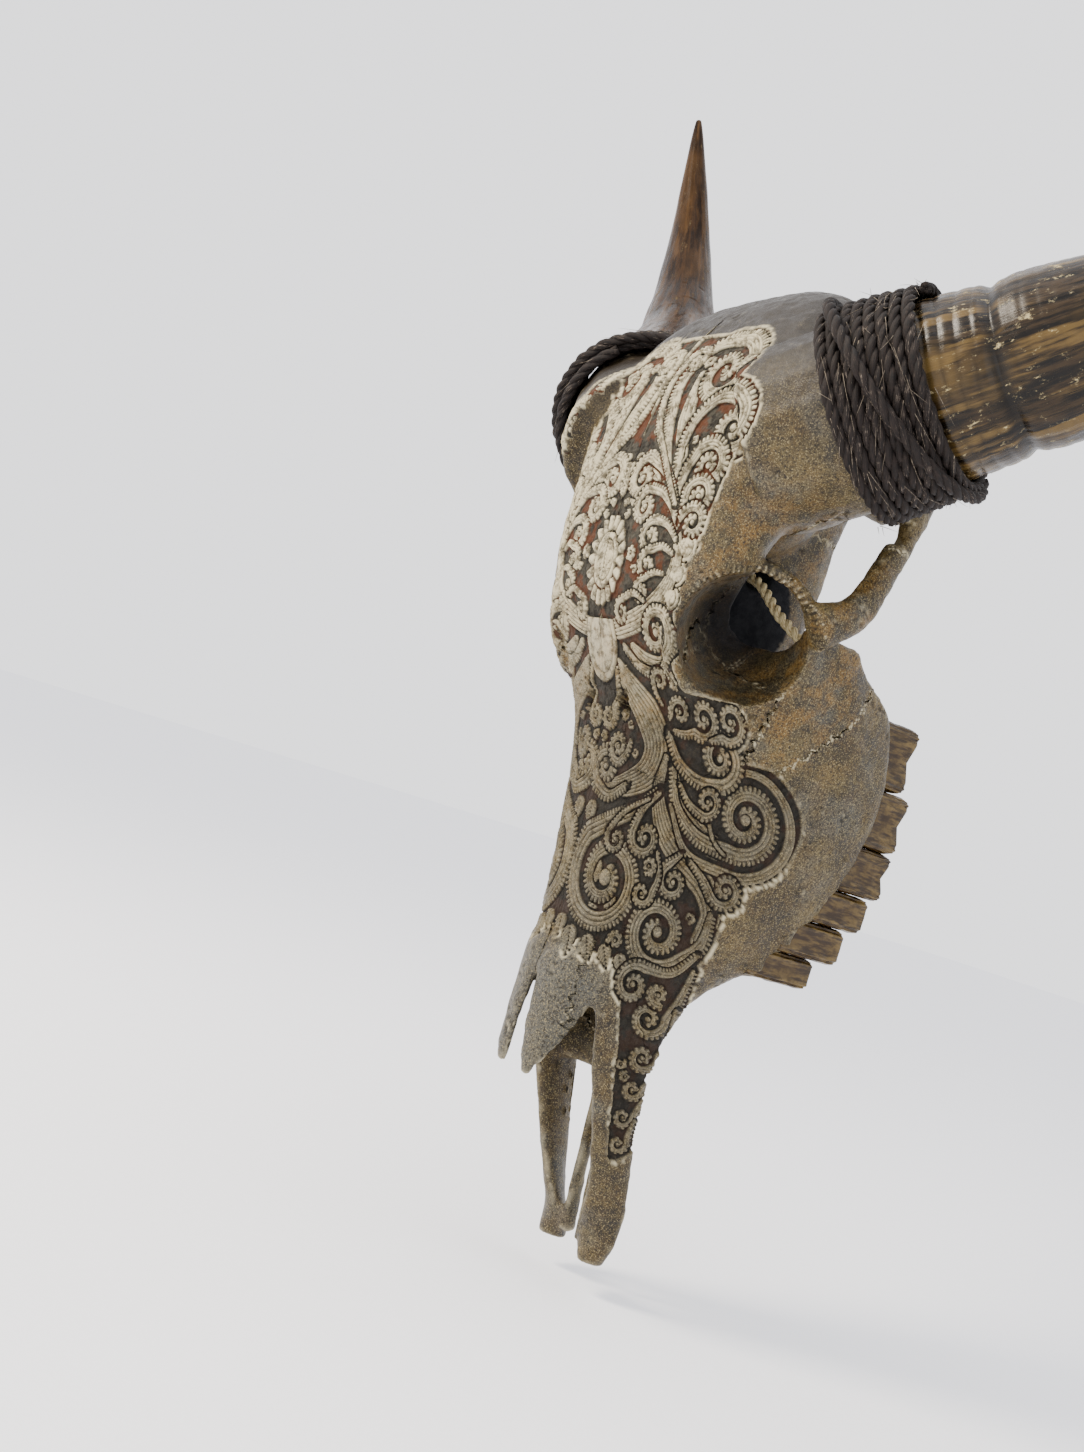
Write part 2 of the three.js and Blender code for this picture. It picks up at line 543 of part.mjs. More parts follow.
// A round section drawn along a path.
function cordAlong(points, steps) {
  const places = points.map((p) => new THREE.Vector3(...p));
  const extrudePath = new THREE.CatmullRomCurve3(places, false, 'centripetal');
  const corners = [];
  for (let k = 0; k < 8; k++) {
    const angle = (k / 8) * 2 * Math.PI;
    corners.push(new THREE.Vector2(Math.cos(angle), Math.sin(angle)).multiplyScalar(CORD_DIAMETER / 2));
  }
  return new THREE.ExtrudeGeometry(new THREE.Shape(corners), { steps, extrudePath, bevelEnabled: false });
}

function eyeLoop() {
  const geometry = new THREE.TorusGeometry(EYE.radius, CORD_DIAMETER / 2, 8, 18);
  geometry.rotateX(Math.PI / 2);
  return geometry.translate(0, EYE.y, EYE.z);
}

function knot({ x, y, z, radius }) {
  const geometry = new THREE.SphereGeometry(radius, 10, 7);
  return toGeometry(toSolid(geometry.translate(x, y, z)));
}

const bones = partBones(wholeSkull());
const sockets = bothSides(union(TEETH.map((tooth) => toothSolid(tooth, GAP))));
bones.maxilla = bones.maxilla.subtract(sockets);
bones.zygomatic_bone = bones.zygomatic_bone.subtract(sockets);
const leftHalf = sidePrism([[-FAR, -FAR], [FAR, -FAR], [FAR, 2 * FAR], [-FAR, 2 * FAR]], GAP / 2, 2 * FAR);
addMesh('frontal_bone', toGeometry(bones.frontal_bone), CARVED_BONE);
for (const name of ['occipital_bone', 'sphenoid_bone']) addMesh(name, toGeometry(bones[name]), BONE);
for (const name of ['nasal_bone', 'premaxilla', 'maxilla', 'lacrimal_bone']) {
  addPair(name, bones[name].intersect(leftHalf), CARVED_BONE);
}
for (const name of ['zygomatic_bone', 'temporal_bone']) addPair(name, bones[name].intersect(leftHalf), BONE);
addMesh('vomer', toGeometry(vomer()), BONE);
for (const tooth of TEETH) addPair(tooth.name, toothSolid(tooth, 0), ENAMEL);
addPair('horn_sheath', hornSheath(), HORN);
addPair('horn_lashing', lashingSolid(0), PALM_ROPE);
addMesh('hook_eye', toGeometry(toSolid(eyeLoop())), COTTON);
addMesh('hook_knot', knot(HOOK_KNOT), COTTON);
addMesh('socket_knot', knot(SOCKET_KNOT), COTTON);
addMesh('hanging_cord', toGeometry(toSolid(cordAlong(CORD_ROUTE, 32))), COTTON);

export default scene;
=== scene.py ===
"""Carved ox skull wall ornament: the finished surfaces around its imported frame.

Lengths in the classes are millimetres in the maker's own measure: x to the animal's left,
y towards the wall and z up from the muzzle tip. One function moves finished points to metres.
"""
import sys
import logging
import math
from dataclasses import dataclass, field
from enum import Enum
from typing import Any, Callable, Sequence

import bpy
import numpy as np
from mathutils import Matrix, Vector


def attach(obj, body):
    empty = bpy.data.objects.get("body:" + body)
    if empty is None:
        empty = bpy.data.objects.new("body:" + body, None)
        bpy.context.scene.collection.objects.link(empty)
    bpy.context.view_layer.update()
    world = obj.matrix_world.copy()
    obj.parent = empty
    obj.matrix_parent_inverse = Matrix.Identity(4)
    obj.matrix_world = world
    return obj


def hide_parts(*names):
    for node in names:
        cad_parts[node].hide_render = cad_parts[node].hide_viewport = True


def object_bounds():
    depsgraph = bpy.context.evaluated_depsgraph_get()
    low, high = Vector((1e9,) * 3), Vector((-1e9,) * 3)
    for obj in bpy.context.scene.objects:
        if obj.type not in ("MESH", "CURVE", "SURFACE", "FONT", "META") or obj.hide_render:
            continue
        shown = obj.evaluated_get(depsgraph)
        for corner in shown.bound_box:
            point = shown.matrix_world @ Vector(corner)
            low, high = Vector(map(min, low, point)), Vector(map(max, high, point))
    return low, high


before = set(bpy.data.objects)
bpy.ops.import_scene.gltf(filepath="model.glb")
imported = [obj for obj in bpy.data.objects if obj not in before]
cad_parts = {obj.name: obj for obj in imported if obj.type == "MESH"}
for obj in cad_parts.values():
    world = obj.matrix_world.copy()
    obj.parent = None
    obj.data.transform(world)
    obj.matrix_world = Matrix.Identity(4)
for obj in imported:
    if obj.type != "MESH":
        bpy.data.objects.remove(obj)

CAD_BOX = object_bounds()
LOG = logging.getLogger("ox_skull")
MM = 0.001
HOOK_HEIGHT = 470.0          # the wall hook, above the muzzle tip
WALL_DEPTH = 40.0            # the wall plane, behind the measure's own zero
ROOT = "root"

Array = np.ndarray
Points = Array
Faces = Array
Solid = tuple[Points, Faces]
Outline = tuple[tuple[float, float], ...]
Place = tuple[float, float, float]
Field = Callable[[Points], Array]
Thing = bpy.types.Object
Material = bpy.types.Material
Socket = bpy.types.NodeSocket


class Slot(Enum):
    """The finishes that the record names."""

    BONE = "bone"
    CARVED = "carved_bone"
    ENAMEL = "enamel"
    HORN = "horn"
    ROPE = "palm_rope"
    COTTON = "cotton_cord"


class Side(Enum):
    """The two sides of the animal, as the sign of x."""

    LEFT = 1
    RIGHT = -1

    @property
    def word(self) -> str:
        """The side's name at the head of a piece's name."""
        return self.name.lower()


# ---- measures and meshes

def to_row(points: Points) -> Points:
    """Moves points from the maker's measure in millimetres to the frame in metres."""
    return (points - np.array([0.0, WALL_DEPTH, HOOK_HEIGHT])) * MM


def to_measure(points: Points) -> Points:
    """Moves points from the frame in metres to the maker's measure in millimetres."""
    return points / MM + np.array([0.0, WALL_DEPTH, HOOK_HEIGHT])


def smooth_step(value: Array, low: float, high: float) -> Array:
    """Rises smoothly from 0 at low to 1 at high: t * t * (3 - 2 t)."""
    t = np.clip((value - low) / (high - low), 0.0, 1.0)
    return t * t * (3.0 - 2.0 * t)


def unit(vectors: Array) -> Array:
    """Scales each vector to length one."""
    return vectors / np.maximum(np.linalg.norm(vectors, axis=-1, keepdims=True), 1e-12)


def read_mesh(mesh: bpy.types.Mesh) -> Solid:
    """Reads a mesh as points and triangles.

    Args:
        mesh: Any mesh.

    Returns:
        Points in the mesh's own unit, and triangles as rows of three indices.
    """
    points = np.empty(len(mesh.vertices) * 3, np.float32)
    mesh.vertices.foreach_get("co", points)
    mesh.calc_loop_triangles()
    faces = np.empty(len(mesh.loop_triangles) * 3, np.int32)
    mesh.loop_triangles.foreach_get("vertices", faces)
    return points.reshape(-1, 3).astype(float), faces.reshape(-1, 3).astype(np.int64)


def make_mesh(name: str, points: Points, faces: Faces) -> bpy.types.Mesh:
    """Puts points and faces with equal corner counts into a smooth-shaded mesh.

    Args:
        name: The mesh's name.
        points: Its points.
        faces: Its faces, all with the same number of corners.

    Returns:
        The new mesh.
    """
    mesh = bpy.data.meshes.new(name)
    corners = faces.shape[1]
    mesh.vertices.add(len(points))
    mesh.vertices.foreach_set("co", points.astype(np.float32).ravel())
    mesh.loops.add(faces.size)
    mesh.loops.foreach_set("vertex_index", faces.astype(np.int32).ravel())
    mesh.polygons.add(len(faces))
    mesh.polygons.foreach_set("loop_start", np.arange(len(faces), dtype=np.int32) * corners)
    mesh.polygons.foreach_set("use_smooth", np.ones(len(faces), bool))
    mesh.update(calc_edges=True)
    return mesh


def make_object(name: str, points: Points, faces: Faces) -> Thing:
    """Makes a scene object at the origin from points and faces, in the unit given.

    Args:
        name: The object's name.
        points: Its points, in the unit wanted.
        faces: Its faces.

    Returns:
        The new object.
    """
    made = bpy.data.objects.new(name, make_mesh(name, points, faces))
    bpy.context.scene.collection.objects.link(made)
    return made


def discard(*objects: Thing) -> None:
    """Removes working objects and their meshes."""
    for thing in objects:
        mesh = thing.data
        bpy.data.objects.remove(thing)
        bpy.data.meshes.remove(mesh)


def welded(points: Points, faces: Faces, tolerance: float = 0.002) -> Solid:
    """Merges points that share a place to within the tolerance and drops flat faces.

    Args:
        points: The mesh's points.
        faces: Its triangles.
        tolerance: How near two points are to be one.

    Returns:
        The merged mesh.
    """
    keys = np.round(points / tolerance).astype(np.int64)
    _, first, back = np.unique(keys, axis=0, return_index=True, return_inverse=True)
    faces = back.reshape(-1)[faces]
    a, b, c = faces.T
    kept = (a != b) & (b != c) & (c != a)
    return points[first], faces[kept]


def joined(solids: Sequence[Solid]) -> Solid:
    """Puts several solids into one list of points and one of faces.

    Args:
        solids: The solids, each with its own indices.

    Returns:
        All of them, with each one's indices moved past the points before it.
    """
    first = np.cumsum([0] + [len(points) for points, _ in solids])
    return (np.concatenate([points for points, _ in solids]),
            np.concatenate([faces + start for (_, faces), start in zip(solids, first)]))


def point_normals(points: Points, faces: Faces) -> Points:
    """Averages the face normals, weighted by area, at each point.

    Args:
        points: The mesh's points.
        faces: Its triangles.

    Returns:
        One unit normal for each point.
    """
    a, b, c = (points[faces[:, k]] for k in range(3))
    across = np.cross(b - a, c - a)
    total = np.stack([
        sum(np.bincount(faces[:, k], across[:, axis], len(points)) for k in range(3))
        for axis in range(3)], axis=1)
    return unit(total)


def edges_of(faces: Faces) -> Array:
    """Lists each edge of a triangle mesh once, as rows of two sorted indices.

    Args:
        faces: The triangles.

    Returns:
        One row for each edge.
    """
    pairs = np.sort(np.concatenate([faces[:, [0, 1]], faces[:, [1, 2]], faces[:, [2, 0]]]), axis=1)
    size = int(faces.max()) + 1
    keys = np.unique(pairs[:, 0] * size + pairs[:, 1])
    return np.stack([keys // size, keys % size], axis=1)


def relaxed(points: Points, faces: Faces, steps: int, weight: Array) -> Points:
    """Moves each point towards the mean of its neighbours, then part of the way back.

    Args:
        points: The mesh's points.
        faces: Its triangles.
        steps: How many pairs of passes.
        weight: 0 to 1 at each point, how far it follows its neighbours.

    Returns:
        The smoothed points: p + w (mean - p), with a smaller outward pass after each.
    """
    edges = edges_of(faces)
    ends = np.concatenate([edges[:, 0], edges[:, 1]])
    others = np.concatenate([edges[:, 1], edges[:, 0]])
    count = np.maximum(np.bincount(ends, minlength=len(points)), 1)[:, None]
    for step in range(2 * steps):
        share = 0.6 if step % 2 == 0 else -0.35
        mean = np.stack([np.bincount(ends, points[others, k], len(points)) for k in range(3)], axis=1) / count
        points = points + share * weight[:, None] * (mean - points)
    return points


def refined(points: Points, faces: Faces, longest: float, zone: Field) -> Solid:
    """Halves every edge longer than a limit inside a zone, and keeps the mesh closed.

    Args:
        points: The mesh's points.
        faces: Its triangles.
        longest: The edge length above which an edge is halved.
        zone: Gives a value above 0.5 at the points that lie in the zone.

    Returns:
        New points and triangles: 1, 2, 3 or 4 in place of each, by its number of split edges.
    """
    size = len(points)
    sides = np.stack([faces[:, [0, 1]], faces[:, [1, 2]], faces[:, [2, 0]]], axis=1)
    keys = np.sort(sides, axis=2)
    keys = keys[..., 0] * size + keys[..., 1]
    unique, back = np.unique(keys, return_inverse=True)
    back = back.reshape(keys.shape)
    start, end = unique // size, unique % size
    inside = zone(points) > 0.5
    length = np.linalg.norm(points[start] - points[end], axis=1)
    split = (length > longest) & inside[start] & inside[end]
    middle = np.full(len(unique), -1, np.int64)
    middle[split] = size + np.arange(int(split.sum()))
    points = np.concatenate([points, (points[start[split]] + points[end[split]]) / 2])
    mids = middle[back]
    turned = np.concatenate([faces, faces], axis=1)
    mids = np.concatenate([mids, mids], axis=1)
    marks = mids[:, :3] >= 0
    number = marks.sum(axis=1)
    parts = [faces[number == 0]]
    whole = number == 3
    a, b, c = faces[whole].T
    ab, bc, ca = mids[whole, :3].T
    parts += [np.stack(t, axis=1) for t in ((a, ab, ca), (ab, b, bc), (ca, bc, c), (ab, bc, ca))]
    for k in range(3):
        one = (number == 1) & marks[:, k]
        a, b, c = (turned[one, k + j] for j in range(3))
        ab = mids[one, k]
        parts += [np.stack((a, ab, c), axis=1), np.stack((ab, b, c), axis=1)]
        two = (number == 2) & ~marks[:, k]
        a, b, c = (turned[two, k + j] for j in range(3))
        bc, ca = mids[two, k + 1], mids[two, k + 2]
        parts += [np.stack(t, axis=1) for t in ((a, b, bc), (a, bc, ca), (ca, bc, c))]
    return points, np.concatenate(parts)


def grid_faces(rows: int, columns: int) -> Faces:
    """Triangles over a grid that closes round its columns and, with two hub points, at its ends.

    Args:
        rows: Rings of points along the shape.
        columns: Points in each ring.

    Returns:
        Triangles that face outwards when rings run anticlockwise seen from the far end.
    """
    row, column = np.meshgrid(np.arange(rows - 1), np.arange(columns), indexing="ij")
    a = (row * columns + column).ravel()
    b = (row * columns + (column + 1) % columns).ravel()
    ring = np.arange(columns)
    turned = (ring + 1) % columns
    hub = np.full(columns, rows * columns)
    last = (rows - 1) * columns
    return np.concatenate([
        np.stack(t, axis=1) for t in ((a, b, b + columns), (a, b + columns, a + columns),
                                      (turned, ring, hub), (last + ring, last + turned, hub + 1))])


def tube(centres: Points, radii: Array, sides: int) -> Solid:
    """A round closed tube along a line, with no twist.

    Args:
        centres: Points along the line.
        radii: The radius at each of them.
        sides: Points round the tube.

    Returns:
        Points and triangles: centre + radius (cos a * across + sin a * upward).
    """
    tangent = unit(np.gradient(centres, axis=0))
    across = carried_frame(tangent)
    upward = np.cross(tangent, across)
    angle = np.arange(sides) / sides * 2 * np.pi
    ring = np.cos(angle)[None, :, None] * across[:, None] + np.sin(angle)[None, :, None] * upward[:, None]
    rings = centres[:, None] + radii[:, None, None] * ring
    points = np.concatenate([rings.reshape(-1, 3), centres[[0, -1]]])
    return points, grid_faces(len(centres), sides)


def carried_frame(tangent: Points) -> Points:
    """Carries one sideways direction along a line by turning it with the tangent.

    Args:
        tangent: The line's unit direction at each point.

    Returns:
        A unit direction across the line at each point: the last one less its part along the line.
    """
    start = np.cross(tangent[0], [0.0, 0.0, 1.0] if abs(tangent[0][2]) < 0.9 else [1.0, 0.0, 0.0])
    across = np.empty_like(tangent)
    across[0] = start / np.linalg.norm(start)
    for k in range(1, len(tangent)):
        flat = across[k - 1] - tangent[k] * float(across[k - 1] @ tangent[k])
        across[k] = flat / np.linalg.norm(flat)
    return across


def smooth_line(controls: Sequence[Sequence[float]], t: Array) -> Points:
    """A centripetal Catmull-Rom line through control points, in two or three dimensions.

    Args:
        controls: The points that the line passes.
        t: Shares of the way along, from 0 to 1, counted in spans between the points.

    Returns:
        One point for each t, from the Hermite cubic of its span.
    """
    given = np.asarray(controls, float)
    line = np.concatenate([[2 * given[0] - given[1]], given, [2 * given[-1] - given[-2]]])
    spans = len(given) - 1
    k = np.clip((t * spans).astype(int), 0, spans - 1)
    w = (t * spans - k)[:, None]
    p0, p1, p2, p3 = (line[k + j] for j in range(4))
    d0, d1, d2 = (np.maximum(np.linalg.norm(q - p, axis=1), 1e-6)[:, None] ** 0.5
                  for p, q in ((p0, p1), (p1, p2), (p2, p3)))
    m1 = ((p1 - p0) / d0 - (p2 - p0) / (d0 + d1) + (p2 - p1) / d1) * d1
    m2 = ((p2 - p1) / d1 - (p3 - p1) / (d1 + d2) + (p3 - p2) / d2) * d1
    return p1 + m1 * w + (3 * (p2 - p1) - 2 * m1 - m2) * w ** 2 + (2 * (p1 - p2) + m1 + m2) * w ** 3


def even_line(controls: Sequence[Sequence[float]], step: float) -> Points:
    """The smooth line through control points, sampled at an even step along its length.

    Args:
        controls: The points that the line passes.
        step: The distance wanted between samples.

    Returns:
        The samples, from the first control point to the last.
    """
    fine = smooth_line(controls, np.linspace(0, 1, 40 * len(controls)))
    run = np.concatenate([[0.0], np.cumsum(np.linalg.norm(np.diff(fine, axis=0), axis=1))])
    places = np.linspace(0, run[-1], max(int(run[-1] / step), 2) + 1)
    return np.stack([np.interp(places, run, fine[:, k]) for k in range(fine.shape[1])], axis=1)


def value_noise(points: Points, size: float, seed: int) -> Array:
    """Smooth noise from -1 to 1: hashed values at lattice corners, blended between them.

    Args:
        points: Places in millimetres.
        size: The lattice step in millimetres.
        seed: Chooses the pattern.

    Returns:
        One value for each place.
    """
    place = points / size
    base = np.floor(place).astype(np.int64)
    share = place - base
    share = share * share * (3 - 2 * share)
    total = np.zeros(len(points))
    for corner in np.ndindex(2, 2, 2):
        x, y, z = (base + np.array(corner)).T
        mixed = (x * 73856093) ^ (y * 19349663) ^ (z * 83492791) ^ (seed * 2654435761)
        mixed = ((mixed ^ (mixed >> 13)) * 1274126177) & 0xFFFFFFFF
        mixed = ((mixed ^ (mixed >> 16)) * 2246822519) & 0xFFFFFFFF
        weight = np.prod(np.where(np.array(corner) == 1, share, 1 - share), axis=1)
        total += weight * (mixed / 0xFFFFFFFF)
    return total * 2 - 1


def evaluated(thing: Thing) -> Solid:
    """Reads an object's mesh with its modifiers applied.

    Args:
        thing: The object.

    Returns:
        The finished points and triangles.
    """
    graph = bpy.context.evaluated_depsgraph_get()
    mesh = bpy.data.meshes.new_from_object(thing.evaluated_get(graph), depsgraph=graph)
    result = read_mesh(mesh)
    bpy.data.meshes.remove(mesh)
    return result


def remeshed(points: Points, faces: Faces, voxel: float) -> Solid:
    """Joins overlapping closed shells into one even skin of small quads.

    Args:
        points: The mesh's points.
        faces: Its triangles.
        voxel: The size of the quads.

    Returns:
        The skin.
    """
    thing = make_object("clay", points, faces)
    remesh = thing.modifiers.new("even", "REMESH")
    remesh.mode = "VOXEL"
    remesh.voxel_size = voxel
    result = evaluated(thing)
    discard(thing)
    return result


def carved_by(solid: Solid, cutter: Solid, keep_inside: bool) -> Solid:
    """Cuts one closed solid by another.

    Args:
        solid: The solid to cut.
        cutter: The cutting solid.
        keep_inside: Whether what lies in the cutter is kept, or what lies outside it.

    Returns:
        The cut solid.
    """
    thing, tool = make_object("stock", *solid), make_object("cutter", *cutter)
    cut = thing.modifiers.new("cut", "BOOLEAN")
    cut.object = tool
    cut.operation = "INTERSECT" if keep_inside else "DIFFERENCE"
    cut.solver = "MANIFOLD"
    result = evaluated(thing)
    discard(thing, tool)
    return result


def put_attributes(thing: Thing, **stored: Array) -> None:
    """Stores numbers or vectors at each point of a piece, for its material to read.

    Args:
        thing: The piece.
        stored: By attribute name, one number or one row of three for each point.
    """
    for name, values in stored.items():
        kind, key = ("FLOAT", "value") if values.ndim == 1 else ("FLOAT_VECTOR", "vector")
        made = thing.data.attributes.new(name, kind, "POINT")
        made.data.foreach_set(key, values.astype(np.float32).ravel())


# ---- materials

def linear(hex_colour: str) -> tuple[float, float, float, float]:
    """Turns an sRGB hex colour into linear red, green, blue and alpha."""
    channels = [int(hex_colour[k:k + 2], 16) / 255 for k in (1, 3, 5)]
    return (*[c / 12.92 if c <= 0.04045 else ((c + 0.055) / 1.055) ** 2.4 for c in channels], 1.0)


def per_metre(size_mm: float) -> float:
    """The texture scale that gives a pattern of this size in millimetres."""
    return 1000.0 / size_mm


def node(tree: bpy.types.NodeTree, kind: str, settings: dict[Any, Any] | None = None,
         links: dict[Any, Socket] | None = None) -> bpy.types.Node:
    """Adds a node.

    Args:
        tree: The material's node tree.
        kind: The node's type, without its ShaderNode prefix.
        settings: Values by property name, or by input name or number.
        links: Output sockets by the input that each of them feeds.

    Returns:
        The new node.
    """
    made = tree.nodes.new("ShaderNode" + kind)
    for name, value in (settings or {}).items():
        if isinstance(name, int) or (name in made.inputs and not hasattr(type(made), name)):
            made.inputs[name].default_value = value
        else:
            setattr(made, name, value)
    for name, socket in (links or {}).items():
        tree.links.new(socket, made.inputs[name])
    return made


class Tree:
    """A material under construction, with its mixing idioms."""

    def __init__(self, name: str) -> None:
        """Starts a material with only its output and shader.

        Args:
            name: What the real material is and how it was made.
        """
        self.material = bpy.data.materials.new(name)
        self.material.use_nodes = True
        self.tree = self.material.node_tree
        self.tree.nodes.clear()
        self.shader = node(self.tree, "BsdfPrincipled")
        node(self.tree, "OutputMaterial", links={"Surface": self.shader.outputs[0]})
        self.place = node(self.tree, "TexCoord").outputs["Object"]

    def add(self, kind: str, settings: dict[Any, Any] | None = None,
            links: dict[Any, Socket] | None = None) -> bpy.types.Node:
        """Adds a node to this material."""
        return node(self.tree, kind, settings, links)

    def pattern(self, size_mm: float, detail: float = 4.0, stretch: Place = (1, 1, 1),
                rough: float = 0.6) -> Socket:
        """Adds noise of a real size.

        Args:
            size_mm: The size of its largest spots in millimetres.
            detail: Its finer octaves.
            stretch: Small along an axis where the pattern is drawn out.
            rough: The strength of the finer octaves.

        Returns:
            Values from 0 to 1.
        """
        turned = self.add("Mapping", {"Scale": stretch}, {"Vector": self.place})
        settings = {"Scale": per_metre(size_mm), "Detail": detail, "Roughness": rough}
        return self.add("TexNoise", settings, {"Vector": turned.outputs[0]}).outputs[0]

    def stored(self, name: str) -> Socket:
        """The number that a piece stores at each of its points."""
        return self.add("Attribute", {"attribute_name": name}).outputs["Fac"]

    def between(self, value: Socket, low: float, high: float, top: float = 1.0) -> Socket:
        """Maps a value from low..high to 0..top, clamped."""
        settings = {1: low, 2: high, 4: top, "interpolation_type": "SMOOTHSTEP"}
        return self.add("MapRange", settings, {0: value}).outputs[0]

    def blend(self, share: Socket, first: Any, second: Any) -> Socket:
        """Blends two colours.

        Args:
            share: How much of the second shows, 0 to 1.
            first: A hex value or a socket.
            second: A hex value or a socket.

        Returns:
            The blended colour.
        """
        settings: dict[Any, Any] = {"data_type": "RGBA"}
        links = {0: share}
        for slot, colour in ((6, first), (7, second)):
            if isinstance(colour, str):
                settings[slot] = linear(colour)
            else:
                links[slot] = colour
        return self.add("Mix", settings, links).outputs[2]

    def sums(self, how: str, first: Any, second: Any) -> Socket:
        """Does one step of arithmetic.

        Args:
            how: The step, such as ADD or MULTIPLY.
            first: A number or a socket.
            second: A number or a socket.

        Returns:
            The result.
        """
        settings: dict[Any, Any] = {"operation": how}
        links = {}
        for slot, value in ((0, first), (1, second)):
            if isinstance(value, (int, float)):
                settings[slot] = value
            else:
                links[slot] = value
        return self.add("Math", settings, links).outputs[0]

    def finish(self, colour: Socket, rough: Socket, height: Socket,
               relief_mm: float, **fixed: float) -> Material:
        """Joins colour, roughness and bump to the shader.

        Args:
            colour: The base colour.
            rough: The roughness.
            height: The bump's height, 0 to 1.
            relief_mm: How high 1 stands.
            fixed: Even values by the shader's own input names in lower case.

        Returns:
            The finished material.
        """
        bump = self.add("Bump", {"Strength": 1.0, "Distance": relief_mm * MM}, {"Height": height})
        self.tree.links.new(colour, self.shader.inputs["Base Color"])
        self.tree.links.new(rough, self.shader.inputs["Roughness"])
        self.tree.links.new(bump.outputs[0], self.shader.inputs["Normal"])
        for name, value in fixed.items():
            self.shader.inputs[name.replace("_", " ").title().replace("Ior", "IOR")].default_value = value
        return self.material


@dataclass(frozen=True)
class AgedBone:
    """Dry ox bone, smoked and waxed by hand.

    It gives the eye a mottled olive-brown skin with ochre clouds and dark specks in its pores,
    a painted grey-blue sheen in large patches and on the nose tips, dark grime with painted shade in its carved
    grooves, and a painted shadow deep in the eye sockets.
    """

    name: str = "smoked_waxed_ox_bone"
    umber: str = "#171006"
    olive: str = "#3a3018"
    sand: str = "#5a4d2d"
    steel: str = "#45453f"
    scuff: str = "#8c7e5a"
    ochre: str = "#6d501f"
    soot: str = "#060402"
    ridge: str = "#c6bb9a"
    rust: str = "#4a2408"
    hollow: str = "#020308"
    cloud_mm: float = 26.0
    mottle_mm: float = 4.5
    speck_mm: float = 1.3
    grain_mm: float = 0.7

    def material(self) -> Material:
        """Builds the bone's node tree.

        Returns:
            The finished material.
        """
        t = Tree(self.name)
        cloud = t.pattern(self.cloud_mm, 5.0)
        mottle = t.pattern(self.mottle_mm, 6.0, rough=0.7)
        speck = t.pattern(self.speck_mm, 3.0, rough=0.8)
        grain = t.pattern(self.grain_mm, 2.0)
        carve, depth = t.stored("carve"), t.stored("depth")
        edge, pit, socket, gold = t.stored("edge"), t.stored("pit"), t.stored("socket"), t.stored("gold")
        base = t.blend(t.between(mottle, 0.36, 0.66), self.umber, self.olive)
        base = t.blend(t.between(cloud, 0.42, 0.66, 0.65), base, self.sand)
        # painted sheen: large grey-blue patches
        base = t.blend(t.between(t.pattern(40.0, 3.0), 0.5, 0.66, 0.6), base, self.steel)
        warm = t.sums("MULTIPLY", t.between(t.pattern(11.0, 5.0), 0.4, 0.64), t.sums("ADD", gold, 0.14))
        base = t.blend(warm, base, self.ochre)
        # painted sheen: grey-blue on the nose tips
        base = t.blend(t.sums("MULTIPLY", t.stored("cool"), 0.75), base, self.steel)
        base = t.blend(t.between(grain, 0.52, 0.66, 0.7), base, self.scuff)
        # darker towards the top of the poll
        base = t.blend(t.sums("MULTIPLY", t.stored("smoke"), t.between(mottle, 0.2, 0.46)), base, self.umber)
        base = t.blend(t.between(speck, 0.48, 0.62, 0.9), base, self.umber)
        ridge = t.blend(t.between(mottle, 0.44, 0.62, 0.85), self.ridge, self.olive)
        base = t.blend(t.sums("MULTIPLY", carve, 0.82), base, ridge)
        base = t.blend(t.sums("MULTIPLY", edge, 0.7), base, self.ridge)
        # carved grooves, pores and rim notches go dark: partly real grime, partly painted shade; inside the eye
        # socket it is painted shade
        dark = t.sums("MAXIMUM", t.between(depth, 0.12, 0.8, 0.94), t.sums("MULTIPLY", pit, 0.85))
        base = t.blend(dark, base, self.soot)
        stain = t.sums("MULTIPLY", t.between(t.pattern(12.0, 3.0), 0.48, 0.6), t.between(depth, 0.3, 0.8))
        base = t.blend(t.sums("MULTIPLY", stain, t.sums("MULTIPLY", carve, 0.8)), base, self.rust)
        # painted shadow deep in the eye socket
        base = t.blend(socket, base, self.hollow)
        matt = t.sums("MAXIMUM", dark, socket)
        rough = t.sums("ADD", t.sums("MULTIPLY", matt, 0.4), 0.34)
        rough = t.sums("ADD", t.between(mottle, 0.3, 0.7, 0.22), rough)
        height = t.sums("ADD", t.sums("MULTIPLY", speck, 0.6), t.sums("MULTIPLY", grain, 0.4))
        return t.finish(base, rough, height, 0.5, ior=1.54, specular_ior_level=0.24)


@dataclass(frozen=True)
class ToothEnamel:
    """Cheek teeth: enamel ridges under brown cement, worn flat by grazing.

    It gives the eye streaks that run from the root to the biting edge, ivory where rubbed
    and rust-brown in the furrows.
    """

    name: str = "stained_tooth_enamel"
    ivory: str = "#5f4d28"
    cement: str = "#261a07"
    rust: str = "#241204"
    streak_mm: float = 2.2

    def material(self) -> Material:
        """Builds the enamel's node tree.

        Returns:
            The finished material.
        """
        t = Tree(self.name)
        streak = t.pattern(self.streak_mm, 4.0, (1.0, 0.22, 1.0))
        cloud = t.pattern(7.0, 4.0)
        pit = t.stored("pit")
        base = t.blend(t.between(streak, 0.38, 0.62), self.cement, self.ivory)
        base = t.blend(t.between(cloud, 0.48, 0.66, 0.6), base, self.cement)
        base = t.blend(t.sums("MULTIPLY", pit, 0.9), base, self.rust)
        rough = t.sums("ADD", t.between(cloud, 0.3, 0.7, 0.2), 0.26)
        return t.finish(base, rough, streak, 0.25, ior=1.62, specular_ior_level=0.2)


